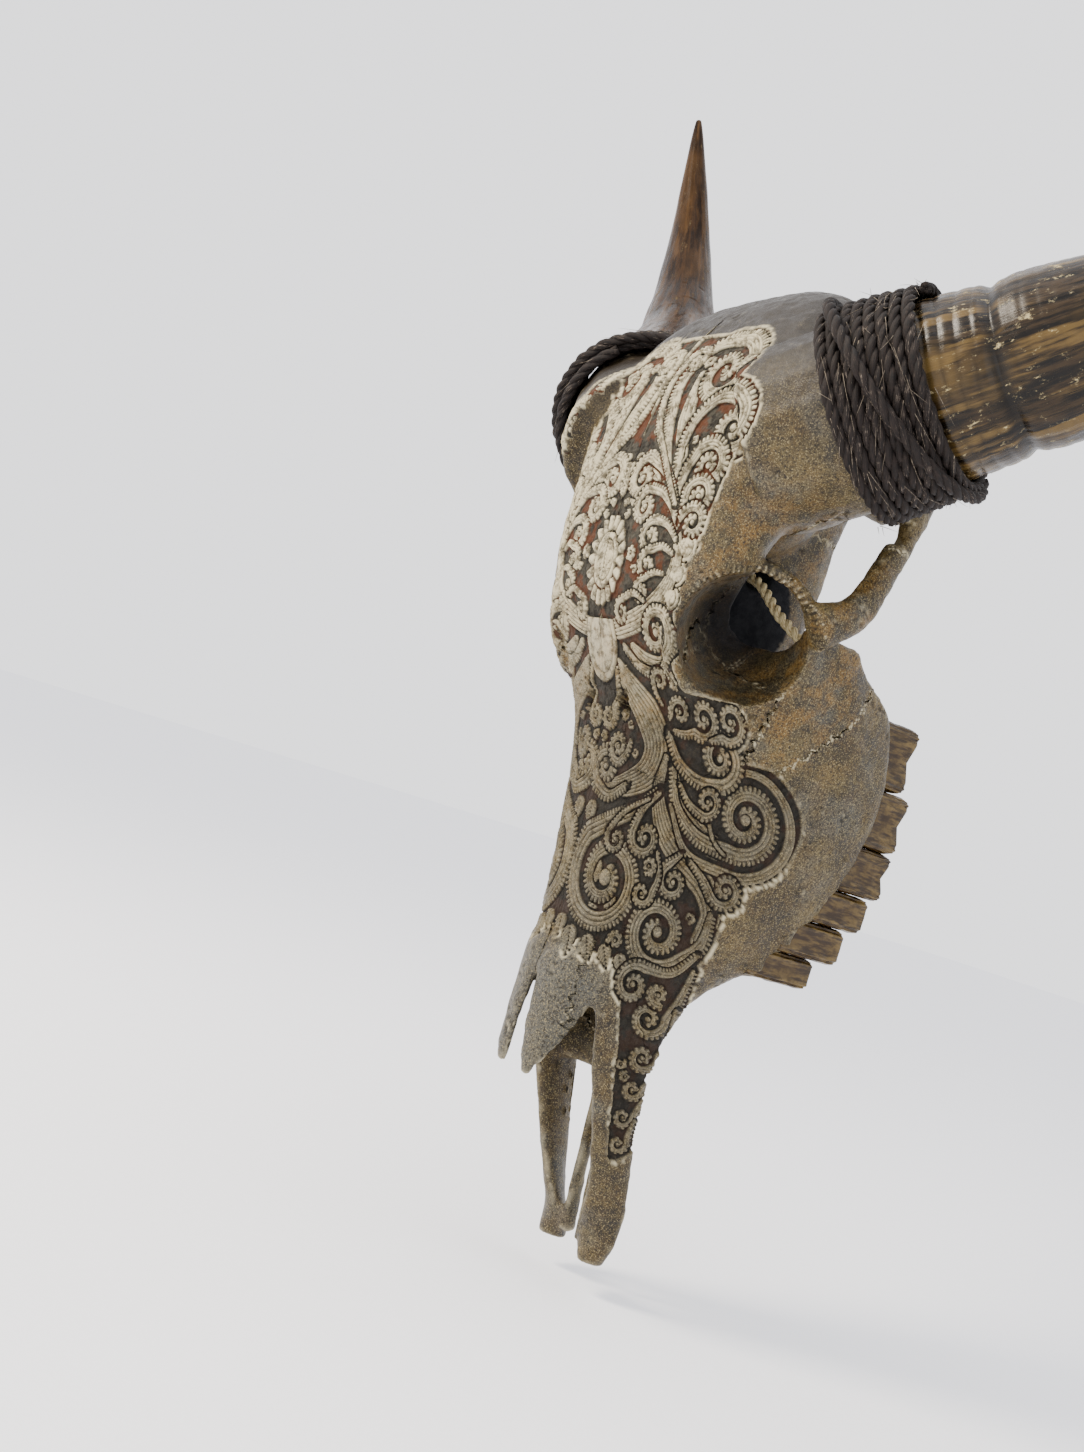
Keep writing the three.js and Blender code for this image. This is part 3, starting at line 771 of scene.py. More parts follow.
@dataclass(frozen=True)
class PolishedHorn:
    """Ox horn sheath: keratin scraped and oiled.

    It gives the eye a deep gloss over fine lengthwise streaks, brown layers near the base
    and pale flakes where old layers have lifted.
    """

    name: str
    dark: str
    body: str
    streak: str
    flake: str = "#b3a378"
    flakes: float = 0.5
    gloss: float = 0.18
    streak_mm: float = 2.6
    fleck_mm: float = 5.0

    def material(self) -> Material:
        """Builds the horn's node tree on the sheath's own lengthwise coordinates.

        Returns:
            The finished material.
        """
        t = Tree(self.name)
        t.place = t.add("Attribute", {"attribute_name": "unrolled"}).outputs["Vector"]
        streak = t.pattern(self.streak_mm, 5.0, (0.05, 1.0, 1.0))
        cloud = t.pattern(34.0, 4.0, (0.5, 1.0, 1.0))
        fleck = t.pattern(self.fleck_mm, 6.0, (0.55, 1.0, 1.0), 0.8)
        pit = t.stored("pit")
        base = t.blend(t.between(streak, 0.4, 0.64), self.dark, self.body)
        base = t.blend(t.between(cloud, 0.46, 0.7, 0.45), base, self.streak)
        base = t.blend(t.between(t.pattern(7.0, 5.0, (0.06, 1.0, 1.0)), 0.5, 0.62, 0.6), base, self.streak)
        base = t.blend(t.sums("MULTIPLY", pit, 0.8), base, self.dark)
        base = t.blend(t.between(fleck, 0.58, 0.67, self.flakes), base, self.flake)
        rough = t.sums("ADD", t.between(fleck, 0.5, 0.72, 0.35), t.between(streak, 0.3, 0.7, 0.12))
        rough = t.sums("ADD", rough, 0.2)
        height = t.sums("ADD", t.sums("MULTIPLY", streak, 0.7), t.sums("MULTIPLY", fleck, 0.4))
        return t.finish(base, rough, height, 0.35, ior=1.55, specular_ior_level=self.gloss)


@dataclass(frozen=True)
class PalmFibre:
    """Sugar-palm rope: coarse black-brown fibres twisted by hand.

    It gives the eye dull dark strands with fine lengthwise fibres, some bleached grey-tan and some pale with
    painted glints.
    """

    name: str = "twisted_palm_fibre"
    black: str = "#0b0807"
    brown: str = "#251d19"
    bleached: str = "#8d8072"
    fibre_mm: float = 0.5

    def material(self) -> Material:
        """Builds the fibre's node tree on each strand's own coordinates.

        Returns:
            The finished material.
        """
        t = Tree(self.name)
        t.place = t.add("UVMap", {"uv_map": "along"}).outputs[0]
        fibre = t.pattern(self.fibre_mm, 3.0, (0.12, 1.0, 1.0), 0.8)
        patch = t.pattern(9.0, 3.0, (0.4, 1.0, 1.0))
        base = t.blend(t.between(fibre, 0.38, 0.62), self.black, self.brown)
        # pale patches: partly bleached fibres, partly painted glints
        pale = t.sums("MULTIPLY", t.between(fibre, 0.56, 0.68), t.between(patch, 0.46, 0.62, 0.8))
        base = t.blend(pale, base, self.bleached)
        rough = t.sums("ADD", t.between(fibre, 0.3, 0.7, 0.2), 0.62)
        return t.finish(base, rough, fibre, 0.35, ior=1.5, specular_ior_level=0.2)


@dataclass(frozen=True)
class CottonCord:
    """Cotton cord: two plies twisted hard, grown cream with age.

    It gives the eye a soft cream twist with brown shade between the plies.
    """

    name: str = "twisted_cotton_cord"
    cream: str = "#c9ba90"
    shade: str = "#7a6238"
    yarn_mm: float = 0.6

    def material(self) -> Material:
        """Builds the cotton's node tree on each ply's own coordinates.

        Returns:
            The finished material.
        """
        t = Tree(self.name)
        t.place = t.add("UVMap", {"uv_map": "along"}).outputs[0]
        yarn = t.pattern(self.yarn_mm, 3.0, (0.2, 1.0, 1.0), 0.7)
        soil = t.pattern(8.0, 3.0, (0.5, 1.0, 1.0))
        base = t.blend(t.between(yarn, 0.34, 0.56), self.shade, self.cream)
        base = t.blend(t.between(soil, 0.52, 0.7, 0.5), base, self.shade)
        rough = t.sums("ADD", t.between(yarn, 0.3, 0.7, 0.1), 0.78)
        return t.finish(base, rough, yarn, 0.3, ior=1.5, specular_ior_level=0.2)


@dataclass(frozen=True)
class PaleFloor:
    """Seamless matt white paper, which gives the eye an even pale ground."""

    name: str = "matt_white_paper"
    white: str = "#f6f6f9"

    def material(self) -> Material:
        """Builds the paper's node tree.

        Returns:
            The finished material.
        """
        t = Tree(self.name)
        tooth = t.pattern(3.0, 2.0)
        base = t.blend(t.between(tooth, 0.4, 0.6, 0.5), self.white, "#f4f4f7")
        rough = t.sums("ADD", t.between(tooth, 0.3, 0.7, 0.05), 0.9)
        return t.finish(base, rough, tooth, 0.02, specular_ior_level=0.0)


# ---- camera, light and floor

@dataclass
class Studio:
    """The camera, the soft lights, the pale surround and the floor."""

    turn: float = 60.5
    rise: float = -2.6
    roll: float = 17.5
    distance: float = 889.0
    aim: Place = (0.0, -90.0, 260.0)
    shift_across: float = -62.6
    shift_up: float = -3.3
    focal: float = 1690.0 / 1452.0      # the lens as a share of the sensor
    sensor: float = 36.0
    light_aim: Place = (0.0, -0.12, -0.15)
    glow: float = 2.1
    floor_drop: float = 16.0
    floor_size: float = 24.0

    def build(self) -> None:
        """Makes the camera, world, lights and floor."""
        self.camera()
        self.world()
        self.lights()
        self.floor()

    def axes(self) -> tuple[Array, Array, Array]:
        """Works out the camera's directions before it is rolled.

        Returns:
            Its right, its up and the direction back from the skull to it.
        """
        turn, rise = math.radians(self.turn), math.radians(self.rise)
        back = np.array([math.sin(turn) * math.cos(rise), -math.cos(turn) * math.cos(rise), math.sin(rise)])
        right = unit(np.cross(-back, [0.0, 0.0, 1.0]))
        return right, np.cross(right, -back), back

    def camera(self) -> None:
        """Places the camera at its distance from the skull, looking at the face."""
        right, up, back = self.axes()
        centre = np.array(self.aim) + back * self.distance + right * self.shift_across + up * self.shift_up
        across, along = math.cos(math.radians(self.roll)), math.sin(math.radians(self.roll))
        columns = (across * right + along * up, across * up - along * right, back, to_row(centre))
        data = bpy.data.cameras.new("camera")
        data.sensor_width = self.sensor
        data.lens = self.sensor * self.focal
        data.clip_start, data.clip_end = 0.01, 100.0
        eye = bpy.data.objects.new("camera", data)
        bpy.context.scene.collection.objects.link(eye)
        place = Matrix.Identity(4)
        for k, column in enumerate(columns):
            for row in range(3):
                place[row][k] = column[row]
        eye.matrix_world = place
        bpy.context.scene.camera = eye

    def world(self) -> None:
        """Gives the surround an even pale light."""
        world = bpy.data.worlds.new("pale_surround")
        bpy.context.scene.world = world
        world.use_nodes = True
        ground = world.node_tree.nodes["Background"]
        ground.inputs["Color"].default_value = linear("#f4f4f7")
        ground.inputs["Strength"].default_value = self.glow

    def lights(self) -> None:
        """Hangs three soft panels: the key to the camera's left, a weak fill and a top light."""
        panels = (("key", (-0.35, -1.45, 0.95), 0.5, 46.0, "#fff3e0"),
                  ("fill", (1.7, -0.7, 0.1), 1.2, 5.0, "#f2f6ff"),
                  ("top", (0.2, -0.5, 1.9), 1.0, 6.0, "#f4f7ff"))
        for name, place, size, power, colour in panels:
            data = bpy.data.lights.new(name, "AREA")
            data.size = size
            data.energy = power
            data.color = linear(colour)[:3]
            lamp = bpy.data.objects.new(name, data)
            bpy.context.scene.collection.objects.link(lamp)
            lamp.location = place
            aim = Vector(self.light_aim) - lamp.location
            lamp.rotation_euler = aim.to_track_quat("-Z", "Y").to_euler()

    def floor(self) -> None:
        """Lays the floor a little below the muzzle."""
        half = self.floor_size / 2
        low = CAD_BOX[0].z - self.floor_drop * MM
        corners = np.array([[-half, -half, low], [half, -half, low], [half, half, low], [-half, half, low]])
        floor = make_object("floor", corners, np.array([[0, 1, 2, 3]]))
        floor.data.materials.append(PaleFloor().material())


def dress(thing: Thing, material: Material, slot: Slot, *nodes: str) -> Thing:
    """Gives a piece its material and body, and hides the frame nodes that it stands for.

    Args:
        thing: The piece.
        material: Its finish.
        slot: The record's name for the finish; not used.
        nodes: The frame nodes that it takes the place of.

    Returns:
        The piece.
    """
    thing.data.materials.clear()
    thing.data.materials.append(material)
    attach(thing, ROOT)
    if nodes:
        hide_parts(*nodes)
    LOG.info("%s: %d faces", thing.name, len(thing.data.polygons))
    return thing


# ---- twisted lines

@dataclass
class Twist:
    """Strands laid round a centre line: a rope or a cord."""

    diameter: float
    strands: int
    lay: float                  # length of one full turn of a strand
    sides: int = 8
    fuzz: float = 0.0           # uneven strand thickness, as a share

    def along(self, line: Points, name: str, closed: bool = False) -> Thing:
        """Builds the strands round a line.

        Each strand's centre is line + reach (cos w * across + sin w * upward), where w grows
        by a full turn in each lay length; a tube is carried along it.

        Args:
            line: The centre line in millimetres, at an even step.
            name: The piece's name.
            closed: Whether the line comes back to its start.

        Returns:
            One object holding every strand, with its own lengthwise coordinates.
        """
        run = np.concatenate([[0.0], np.cumsum(np.linalg.norm(np.diff(line, axis=0), axis=1))])
        tangent = unit(np.gradient(line, axis=0))
        across = carried_frame(tangent)
        upward = np.cross(tangent, across)
        thick = self.diameter / 2 / (1 + 1 / math.sin(math.pi / self.strands))
        thick = thick * (1.18 if self.strands > 2 else 1.12)
        reach = self.diameter / 2 - thick
        turns = round(run[-1] / self.lay) if closed else run[-1] / self.lay
        wind = run / run[-1] * turns * 2 * np.pi
        plies, coordinates = [], []
        for k in range(self.strands):
            angle = wind + k / self.strands * 2 * np.pi
            centre = line + reach * (np.cos(angle)[:, None] * across + np.sin(angle)[:, None] * upward)
            uneven = value_noise(np.stack([run, run * 0 + 7.3 * k, run * 0], axis=1), self.lay / 3, 5 + k)
            plies.append(tube(centre, thick * (1 + self.fuzz * uneven), self.sides))
            ring = np.tile(np.arange(self.sides) / self.sides * 2 * np.pi * thick, len(line))
            length = np.repeat(run, self.sides)
            side = np.abs(ring - np.pi * thick)
            flat = np.stack([length, side + 11.0 * k], axis=1)
            coordinates.append(np.concatenate([flat, flat[[0, -1]]]))
        points, faces = joined(plies)
        made = make_object(name, to_row(points), faces)
        put_lengthwise(made, np.concatenate(coordinates))
        return made


def put_lengthwise(thing: Thing, coordinates: Array) -> None:
    """Stores each point's place along and round a piece, in metres, as the piece's own map.

    Args:
        thing: The piece.
        coordinates: Millimetres along it and round it, for each point.
    """
    corner = np.empty(len(thing.data.loops), np.int32)
    thing.data.loops.foreach_get("vertex_index", corner)
    layer = thing.data.uv_layers.new(name="along")
    layer.data.foreach_set("uv", (coordinates[corner] * MM).astype(np.float32).ravel())


@dataclass
class HangingCord:
    """The cream cord: knotted in the left eye socket, through the skull and up to the hook."""

    diameter: float = 6.0
    route: tuple[Place, ...] = (
        (57, -57, 332), (54.5, -64.6, 336), (46, -67, 341.5), (35, -68.5, 348), (15, -70, 362), (0, -70, 367),
        (-15, -69, 370), (-36, -64, 374), (-58, -48, 388), (-70, -26, 414), (-67, 2, 430), (-44, 25, 444),
        (-8.4, 30.5, 450.8))
    socket_knot: Place = (58.5, -51.3, 330)
    hook_knot: Place = (-1, 32, 451.7)
    knot_size: float = 6.6
    eye_centre: Place = (0, 33, 470)
    eye_radius: float = 8.5
    lay: float = 13.0

    def build(self) -> None:
        """Makes the cord, its two knots and the eye over the hook."""
        cotton = CottonCord().material()
        twist = Twist(self.diameter, 2, self.lay, sides=10, fuzz=0.04)
        line = even_line(self.route, 1.0)
        cord = dress(twist.along(line, "cream_hanging_cord"), cotton, Slot.COTTON, "hanging_cord")
        socket = self.knot("cord_knot_in_socket", self.socket_knot, cotton, "socket_knot")
        hook = self.knot("cord_knot_at_hook", self.hook_knot, cotton, "hook_knot")
        angle = np.linspace(0, 2 * np.pi, 64)
        ring = np.stack([np.cos(angle), 0 * angle, np.sin(angle)], axis=1) * self.eye_radius
        loop = twist.along(np.array(self.eye_centre) + ring, "cord_eye_over_hook", closed=True)
        dress(loop, cotton, Slot.COTTON, "hook_eye")

    def knot(self, name: str, centre: Place, cotton: Material,
             stands_for: str) -> Thing:
        """Ties a knot: a trefoil line, (sin t + 2 sin 2t, cos t - 2 cos 2t, -sin 3t), scaled.

        Args:
            name: The piece's name.
            centre: Its middle.
            cotton: Its material.
            stands_for: Its frame node.

        Returns:
            The knot.
        """
        t = np.linspace(0, 2 * np.pi, 150)
        across, upward = np.sin(t) + 2 * np.sin(2 * t), np.cos(t) - 2 * np.cos(2 * t)
        line = np.stack([across, -1.6 * np.sin(3 * t), upward], axis=1)
        line = np.array(centre) + line * (self.knot_size - self.diameter * 0.35) / 3
        twist = Twist(self.diameter * 0.72, 2, self.lay * 0.8, sides=10)
        return dress(twist.along(line, name, closed=True), cotton, Slot.COTTON, stands_for)


# ---- horns and their lashings

HORN_LINE = ((99, -97, 442), (185.5, -49, 493.5), (263, -3, 552), (323, 18, 638.5), (358.5, 13, 743.5))
HORN_BASE_RADIUS = 45.0
HORN_TIP_RADIUS = 2.0
HORN_TAPER = 0.85


def horn_radius(t: Array) -> Array:
    """The sheath's plain radius at a share of the horn's length, thinning towards the tip."""
    return HORN_BASE_RADIUS * np.maximum(1 - t, 0) ** HORN_TAPER + HORN_TIP_RADIUS


@dataclass
class Horn:
    """One horn: its sheath and the rope lashed round its base."""

    side: Side
    finish: PolishedHorn
    sheath_start: float = 0.045
    rows: int = 420
    columns: int = 120
    ring_spacing: float = 0.017
    ring_height: float = 0.9
    ring_middle: float = 0.06       # shares of the horn's length, as the next two are
    ring_reach: float = 0.13
    groove: float = 0.155
    groove_depth: float = 2.2
    swell: float = 1.6              # how far the sheath stands out past the groove
    length: float = 420.0
    rope_diameter: float = 6.6
    rope_turns: int = 8
    rope_start: float = -9.0
    rope_play: float = 0.8
    fibre_count: int = 170

    def build(self) -> None:
        """Makes the sheath and the lashing."""
        self.sheath()
        self.lashing()

    def mirror(self, points: Points) -> Points:
        """Puts points worked out for the left side on this one."""
        return points * np.array([self.side.value, 1, 1])

    def sheath(self) -> None:
        """Carries a ring of uneven radius along the horn's line.

        The radius is the plain one times 1 + rings + lengthwise ridges + flakes: the rings are
        rounded steps that die out a third of the way along.
        """
        t = self.sheath_start + (1 - self.sheath_start) * np.linspace(0, 1, self.rows)
        centre = smooth_line(HORN_LINE, t)
        tangent = unit(np.gradient(centre, axis=0))
        across = unit(np.cross([0.0, 1.0, 0.0], tangent))
        upward = np.cross(tangent, across)
        angle = np.arange(self.columns) / self.columns * 2 * np.pi
        grid_t, grid_a = np.meshgrid(t, angle, indexing="ij")
        radius = horn_radius(grid_t)
        run = grid_t * self.length
        on_skin = np.stack([run, radius * np.cos(grid_a), radius * np.sin(grid_a)], axis=-1).reshape(-1, 3)
        uneven = value_noise(on_skin * [1, 0.6, 0.6], 18, 3).reshape(radius.shape)
        phase = grid_t / self.ring_spacing + 0.5 * uneven
        steps = 1 - np.abs(np.sin(np.pi * phase)) ** 0.6
        fade = np.exp(-((grid_t - self.ring_middle) / self.ring_reach) ** 2)
        ridges = value_noise(on_skin * [0.06, 1, 1], 2.4, 8).reshape(radius.shape)
        lumps = value_noise(on_skin, 26, 4).reshape(radius.shape)
        flakes = smooth_step(value_noise(on_skin * [0.35, 1, 1], 6, 12).reshape(radius.shape), 0.3, 0.42)
        groove = np.exp(-((grid_t - self.groove) / 0.008) ** 2)
        past = grid_t - self.groove
        swell = self.swell * smooth_step(past, 0.005, 0.035) * np.exp(-((past - 0.045) / 0.06) ** 2)
        height = 0.22 * ridges + 0.5 * lumps - 0.25 * flakes * (grid_t < 0.6)
        height = height - self.ring_height * steps * fade - self.groove_depth * groove + swell
        height = height * smooth_step(radius, HORN_TIP_RADIUS, 14)
        rings = centre[:, None] + (radius + height)[..., None] * (
            np.cos(grid_a)[..., None] * across[:, None] + np.sin(grid_a)[..., None] * upward[:, None])
        points = np.concatenate([rings.reshape(-1, 3), centre[[0]], centre[[-1]] + tangent[[-1]] * 1.5])
        faces = grid_faces(self.rows, self.columns)
        if self.side is Side.RIGHT:
            faces = faces[:, ::-1]
        name = f"{self.side.word}_horn"
        made = make_object(name, to_row(self.mirror(points)), faces)
        pit = np.clip(steps * fade * 0.7 + groove, 0, 1).ravel()
        unrolled = np.concatenate([on_skin, on_skin[[0, -1]]]) * MM
        put_attributes(made, pit=np.concatenate([pit, [0, 0]]), unrolled=unrolled)
        dress(made, self.finish.material(), Slot.HORN, f"{self.side.word}_horn_sheath")

    def lashing(self) -> None:
        """Winds the rope in a close helix round the horn's base and crosses it."""
        first_span = float(np.linalg.norm(np.subtract(HORN_LINE[1], HORN_LINE[0])))
        share_per_mm = 1 / (first_span * (len(HORN_LINE) - 1))

        def wound(angle: Array, height: Array, layer: Array) -> Points:
            """Points round the horn at an angle, a height along it and a layer from 0.

            Args:
                angle: Turned round the horn, in radians.
                height: Millimetres along it.
                layer: 0 for the first layer of rope, 1 on top of it.

            Returns:
                One point for each.
            """
            t = np.maximum(height, 0) * share_per_mm
            ahead, here = smooth_line(HORN_LINE, t + 0.002), smooth_line(HORN_LINE, t)
            tangent = unit(ahead - here)
            across = unit(np.cross(tangent, [0.0, 1.0, 0.0]))
            upward = np.cross(tangent, across)
            centre = here + tangent * np.minimum(height, 0)[:, None]
            radius = (horn_radius(t) + self.rope_play + self.rope_diameter * (0.5 + 0.88 * layer))[:, None]
            return centre + radius * (np.cos(angle)[:, None] * across + np.sin(angle)[:, None] * upward)

        twist = Twist(self.rope_diameter, 3, 24.0, sides=8, fuzz=0.14)
        turn = np.linspace(0, self.rope_turns - 0.02, int(self.rope_turns * 200))
        wobble = 0.35 * value_noise(np.stack([turn * 9, turn * 0, turn * 0], axis=1), 1.7, 21)
        height = self.rope_start + self.rope_diameter * (0.5 + turn * (1 - 1 / self.rope_turns)) + wobble
        line = self.mirror(wound(turn * 2 * np.pi + 0.9, height, turn * 0))
        coil = twist.along(line, f"{self.side.word}_rope_coil")
        rope = PalmFibre().material()
        dress(coil, rope, Slot.ROPE, f"{self.side.word}_horn_lashing")
        share = np.linspace(0, 1, 260)
        rise = np.sin(np.pi * share) ** 0.3
        width = self.rope_turns * self.rope_diameter
        height = self.rope_start + 5 + (width - 10) * smooth_step(share, 0.05, 0.95)
        crossing = wound(0.2 + share * 3.9, height, rise)
        over = twist.along(self.mirror(crossing), f"{self.side.word}_rope_crossing")
        dress(over, rope, Slot.ROPE)
        self.fibres(wound, PalmFibre("bleached_loose_fibre", "#3a322a", "#7d7263", "#cfc4b0").material())

    def fibres(self, wound: Callable[..., Points], rope: Material) -> None:
        """Scatters short loose fibres that lift off the rope, each a thin bent hair.

        Args:
            wound: Gives points round the horn, as the lashing's does.
            rope: The fibres' material.
        """
        rng = np.random.default_rng(40 + self.side.value)
        count, steps, sides = self.fibre_count, 7, 3
        start = rng.uniform(0, 2 * np.pi, count)
        height = self.rope_start + rng.uniform(0, self.rope_turns * self.rope_diameter, count)
        length = rng.uniform(6, 22, count)
        lift = rng.uniform(0.5, 7, count)
        lean = rng.uniform(-7, 7, count)
        share = np.linspace(0, 1, steps)
        angle = (start[:, None] + share * (length / 52)[:, None]).ravel()
        along = (height[:, None] + share * lean[:, None]).ravel()
        layer = (0.42 + share ** 1.6 * (lift / self.rope_diameter)[:, None]).ravel()
        lines = self.mirror(wound(angle, along, layer)).reshape(count, steps, 3)
        points, faces = joined([tube(line, 0.22 * (1 - 0.8 * share), sides) for line in lines])
        made = make_object(f"{self.side.word}_rope_fibres", to_row(points), faces)
        put_lengthwise(made, points[:, :2] * 0.3)
        dress(made, rope, Slot.ROPE)


# ---- teeth

@dataclass(frozen=True)
class Tooth:
    """One cheek tooth: its place along the row and its crown's measures."""

    name: str
    z: float
    x: float
    length: float
    width: float
    bite: float
    root: float
    lobes: int


TEETH = (
    Tooth("premolar_2", 173.5, 47.5, 16, 14, 7, -34, 1),
    Tooth("premolar_3", 191.5, 51.5, 19, 17, 17, -22, 1),
    Tooth("premolar_4", 211.0, 54.5, 19, 19, 23, -14, 1),
    Tooth("molar_1", 233.5, 57.0, 25, 21, 27, -8, 2),
    Tooth("molar_2", 262.0, 58.5, 31, 22, 26, -7, 2),
    Tooth("molar_3", 295.5, 58.5, 35, 21, 20, -12, 2),
)


@dataclass
class CheekTeeth:
    """The twelve upper cheek teeth."""

    rows: int = 46
    columns: int = 96
    cap_rings: int = 14
    waist: float = 0.26
    ridge: float = 1.1

    def build(self) -> None:
        """Makes each tooth on both sides."""
        enamel = ToothEnamel().material()
        for tooth in TEETH:
            points, pit = self.crown(tooth)
            faces = grid_faces(self.rows + self.cap_rings, self.columns)
            for side in Side:
                placed = points * np.array([side.value, 1, 1])
                turned = faces if side is Side.RIGHT else faces[:, ::-1]
                name = f"{side.word}_{tooth.name}"
                made = make_object(f"{name}_crown", to_row(placed), turned)
                put_attributes(made, pit=pit)
                dress(made, enamel, Slot.ENAMEL, name)

    def crown(self, tooth: Tooth) -> tuple[Points, Array]:
        """Works out one crown.

        The outline is a rounded box with a waist for each pair of lobes and upright ridges,
        |cos a|^0.3 along the row and |sin a|^0.5 across it. It folds over a worn table with
        crescent furrows.

        Args:
            tooth: The tooth's measures.

        Returns:
            Its points, then how dark each one is.
        """
        angle = np.arange(self.columns) / self.columns * 2 * np.pi
        rise = np.linspace(0, 1, self.rows)
        inward = 1 - (np.arange(1, self.cap_rings + 1) / (self.cap_rings + 0.6)) ** 0.9
        level = np.concatenate([rise, np.ones(self.cap_rings)])
        shrink = np.concatenate([1 - 0.03 * smooth_step(rise, 0.92, 1.0), 0.97 * inward])
        grid_l, grid_a = np.meshgrid(level, angle, indexing="ij")
        size = shrink[:, None]
        waist = 1 - self.waist * np.abs(np.sin(grid_a)) ** 12 * (tooth.lobes == 2)
        spread = 9.0 if tooth.lobes == 2 else 6.0
        fold = np.abs(np.sin(spread * (grid_a - np.pi / 2))) ** 2.5 * np.abs(np.sin(grid_a)) ** 0.3
        rounded_l = np.sign(np.cos(grid_a)) * np.abs(np.cos(grid_a)) ** 0.3
        rounded_w = np.sign(np.sin(grid_a)) * np.abs(np.sin(grid_a)) ** 0.5
        along = rounded_l * (tooth.length / 2 + 0.16) * size
        out = rounded_w * (tooth.width / 2 - self.ridge * (1 - fold)) * waist * size
        height = tooth.root + (tooth.bite - tooth.root) * grid_l
        valley = 1 - np.abs(np.sin(np.pi * tooth.lobes * (along / tooth.length + 0.5)))
        height = height - 2.2 * valley ** 1.5 * smooth_step(grid_l, 0.55, 1.0)
        table = (grid_l >= 1) & (np.arange(len(level)) >= self.rows)[:, None]
        crescents = 1.6 * np.cos(size * 9 + 2 * np.abs(np.cos(grid_a)) * tooth.lobes)
        height = np.where(table, height - 1.2 + crescents * (1 - size) ** 0.5, height)
        points = np.stack([tooth.x + out, height, tooth.z + along], axis=-1).reshape(-1, 3)
        roughness = value_noise(points, 3.0, 31) * 0.22 + value_noise(points * [1, 0.2, 1], 1.2, 32) * 0.14
        middle = np.array([tooth.x, 0, tooth.z])
        away = unit((points - middle) * [1, 0, 1])
        points = points + away * roughness[:, None]
        hubs = np.array([[tooth.x, tooth.root, tooth.z], [tooth.x, tooth.bite - 1.2, tooth.z]])
        dark = np.clip((1 - fold) * 0.5 + np.abs(np.cos(grid_a)) ** 8, 0, 1)
        dark = dark * smooth_step(1 - grid_l, -0.1, 0.3)
        dark = np.where(table, np.clip(0.4 - crescents * 0.3, 0, 1), dark)
        return np.concatenate([points, hubs]), np.concatenate([dark.ravel(), [0, 0]])


# ---- the carving's drawing

@dataclass(frozen=True)
class Scroll:
    """A carved stem that runs into a curl round an eye.

    Places are millimetres from the midline, measured round the face, and up from the muzzle.
    """

    stem: Outline
    eye: tuple[float, float]
    turns: float                # full turns of the curl, anticlockwise when positive
    width: float                # half width where the curl starts
    flutes: int = 3
    fringe: float = 2.2         # hatched border outside the curl
    close: float = 0.16         # how near the eye the curl comes, as a share of its start


@dataclass(frozen=True)
class Flutes:
    """A spray of flutes side by side along one line."""

    line: Outline
    widths: tuple[float, ...]   # half width at the start, along the way and at the end
    flutes: int


@dataclass(frozen=True)
class Leaf:
    """A pointed hatched leaf from its foot to its tip."""

    foot: tuple[float, float]
    tip: tuple[float, float]
    width: float


SPRAYS = (
    Flutes(((14, 298), (27, 286), (41, 275), (49, 262), (45, 249), (31, 240), (14, 236)),
           (2.5, 7, 9.5, 10, 8.5, 6.5, 3), 8),
    Flutes(((56, 258), (54, 242), (62, 225), (77, 213), (94, 203), (101, 190), (97, 175)),
           (2, 4, 6, 7, 7.5, 6, 4.5), 6),
    Flutes(((62, 262), (66, 243), (80, 229), (98, 222), (114, 221)), (1.5, 4, 6.5, 6, 3), 5),
    Flutes(((55, 368), (61, 350), (57, 336), (42, 322), (20, 314), (0, 311)), (2, 4, 5, 6, 5.5, 4), 6),
    Flutes(((52, 370), (38, 384), (22, 395), (6, 400)), (2, 5, 5, 3), 4),
    Flutes(((54, 372), (44, 396), (34, 420), (28, 446)), (2, 4.5, 6, 3), 5),
    Flutes(((30, 306), (44, 300), (57, 302), (60, 314)), (2, 4, 4, 2), 4),
)

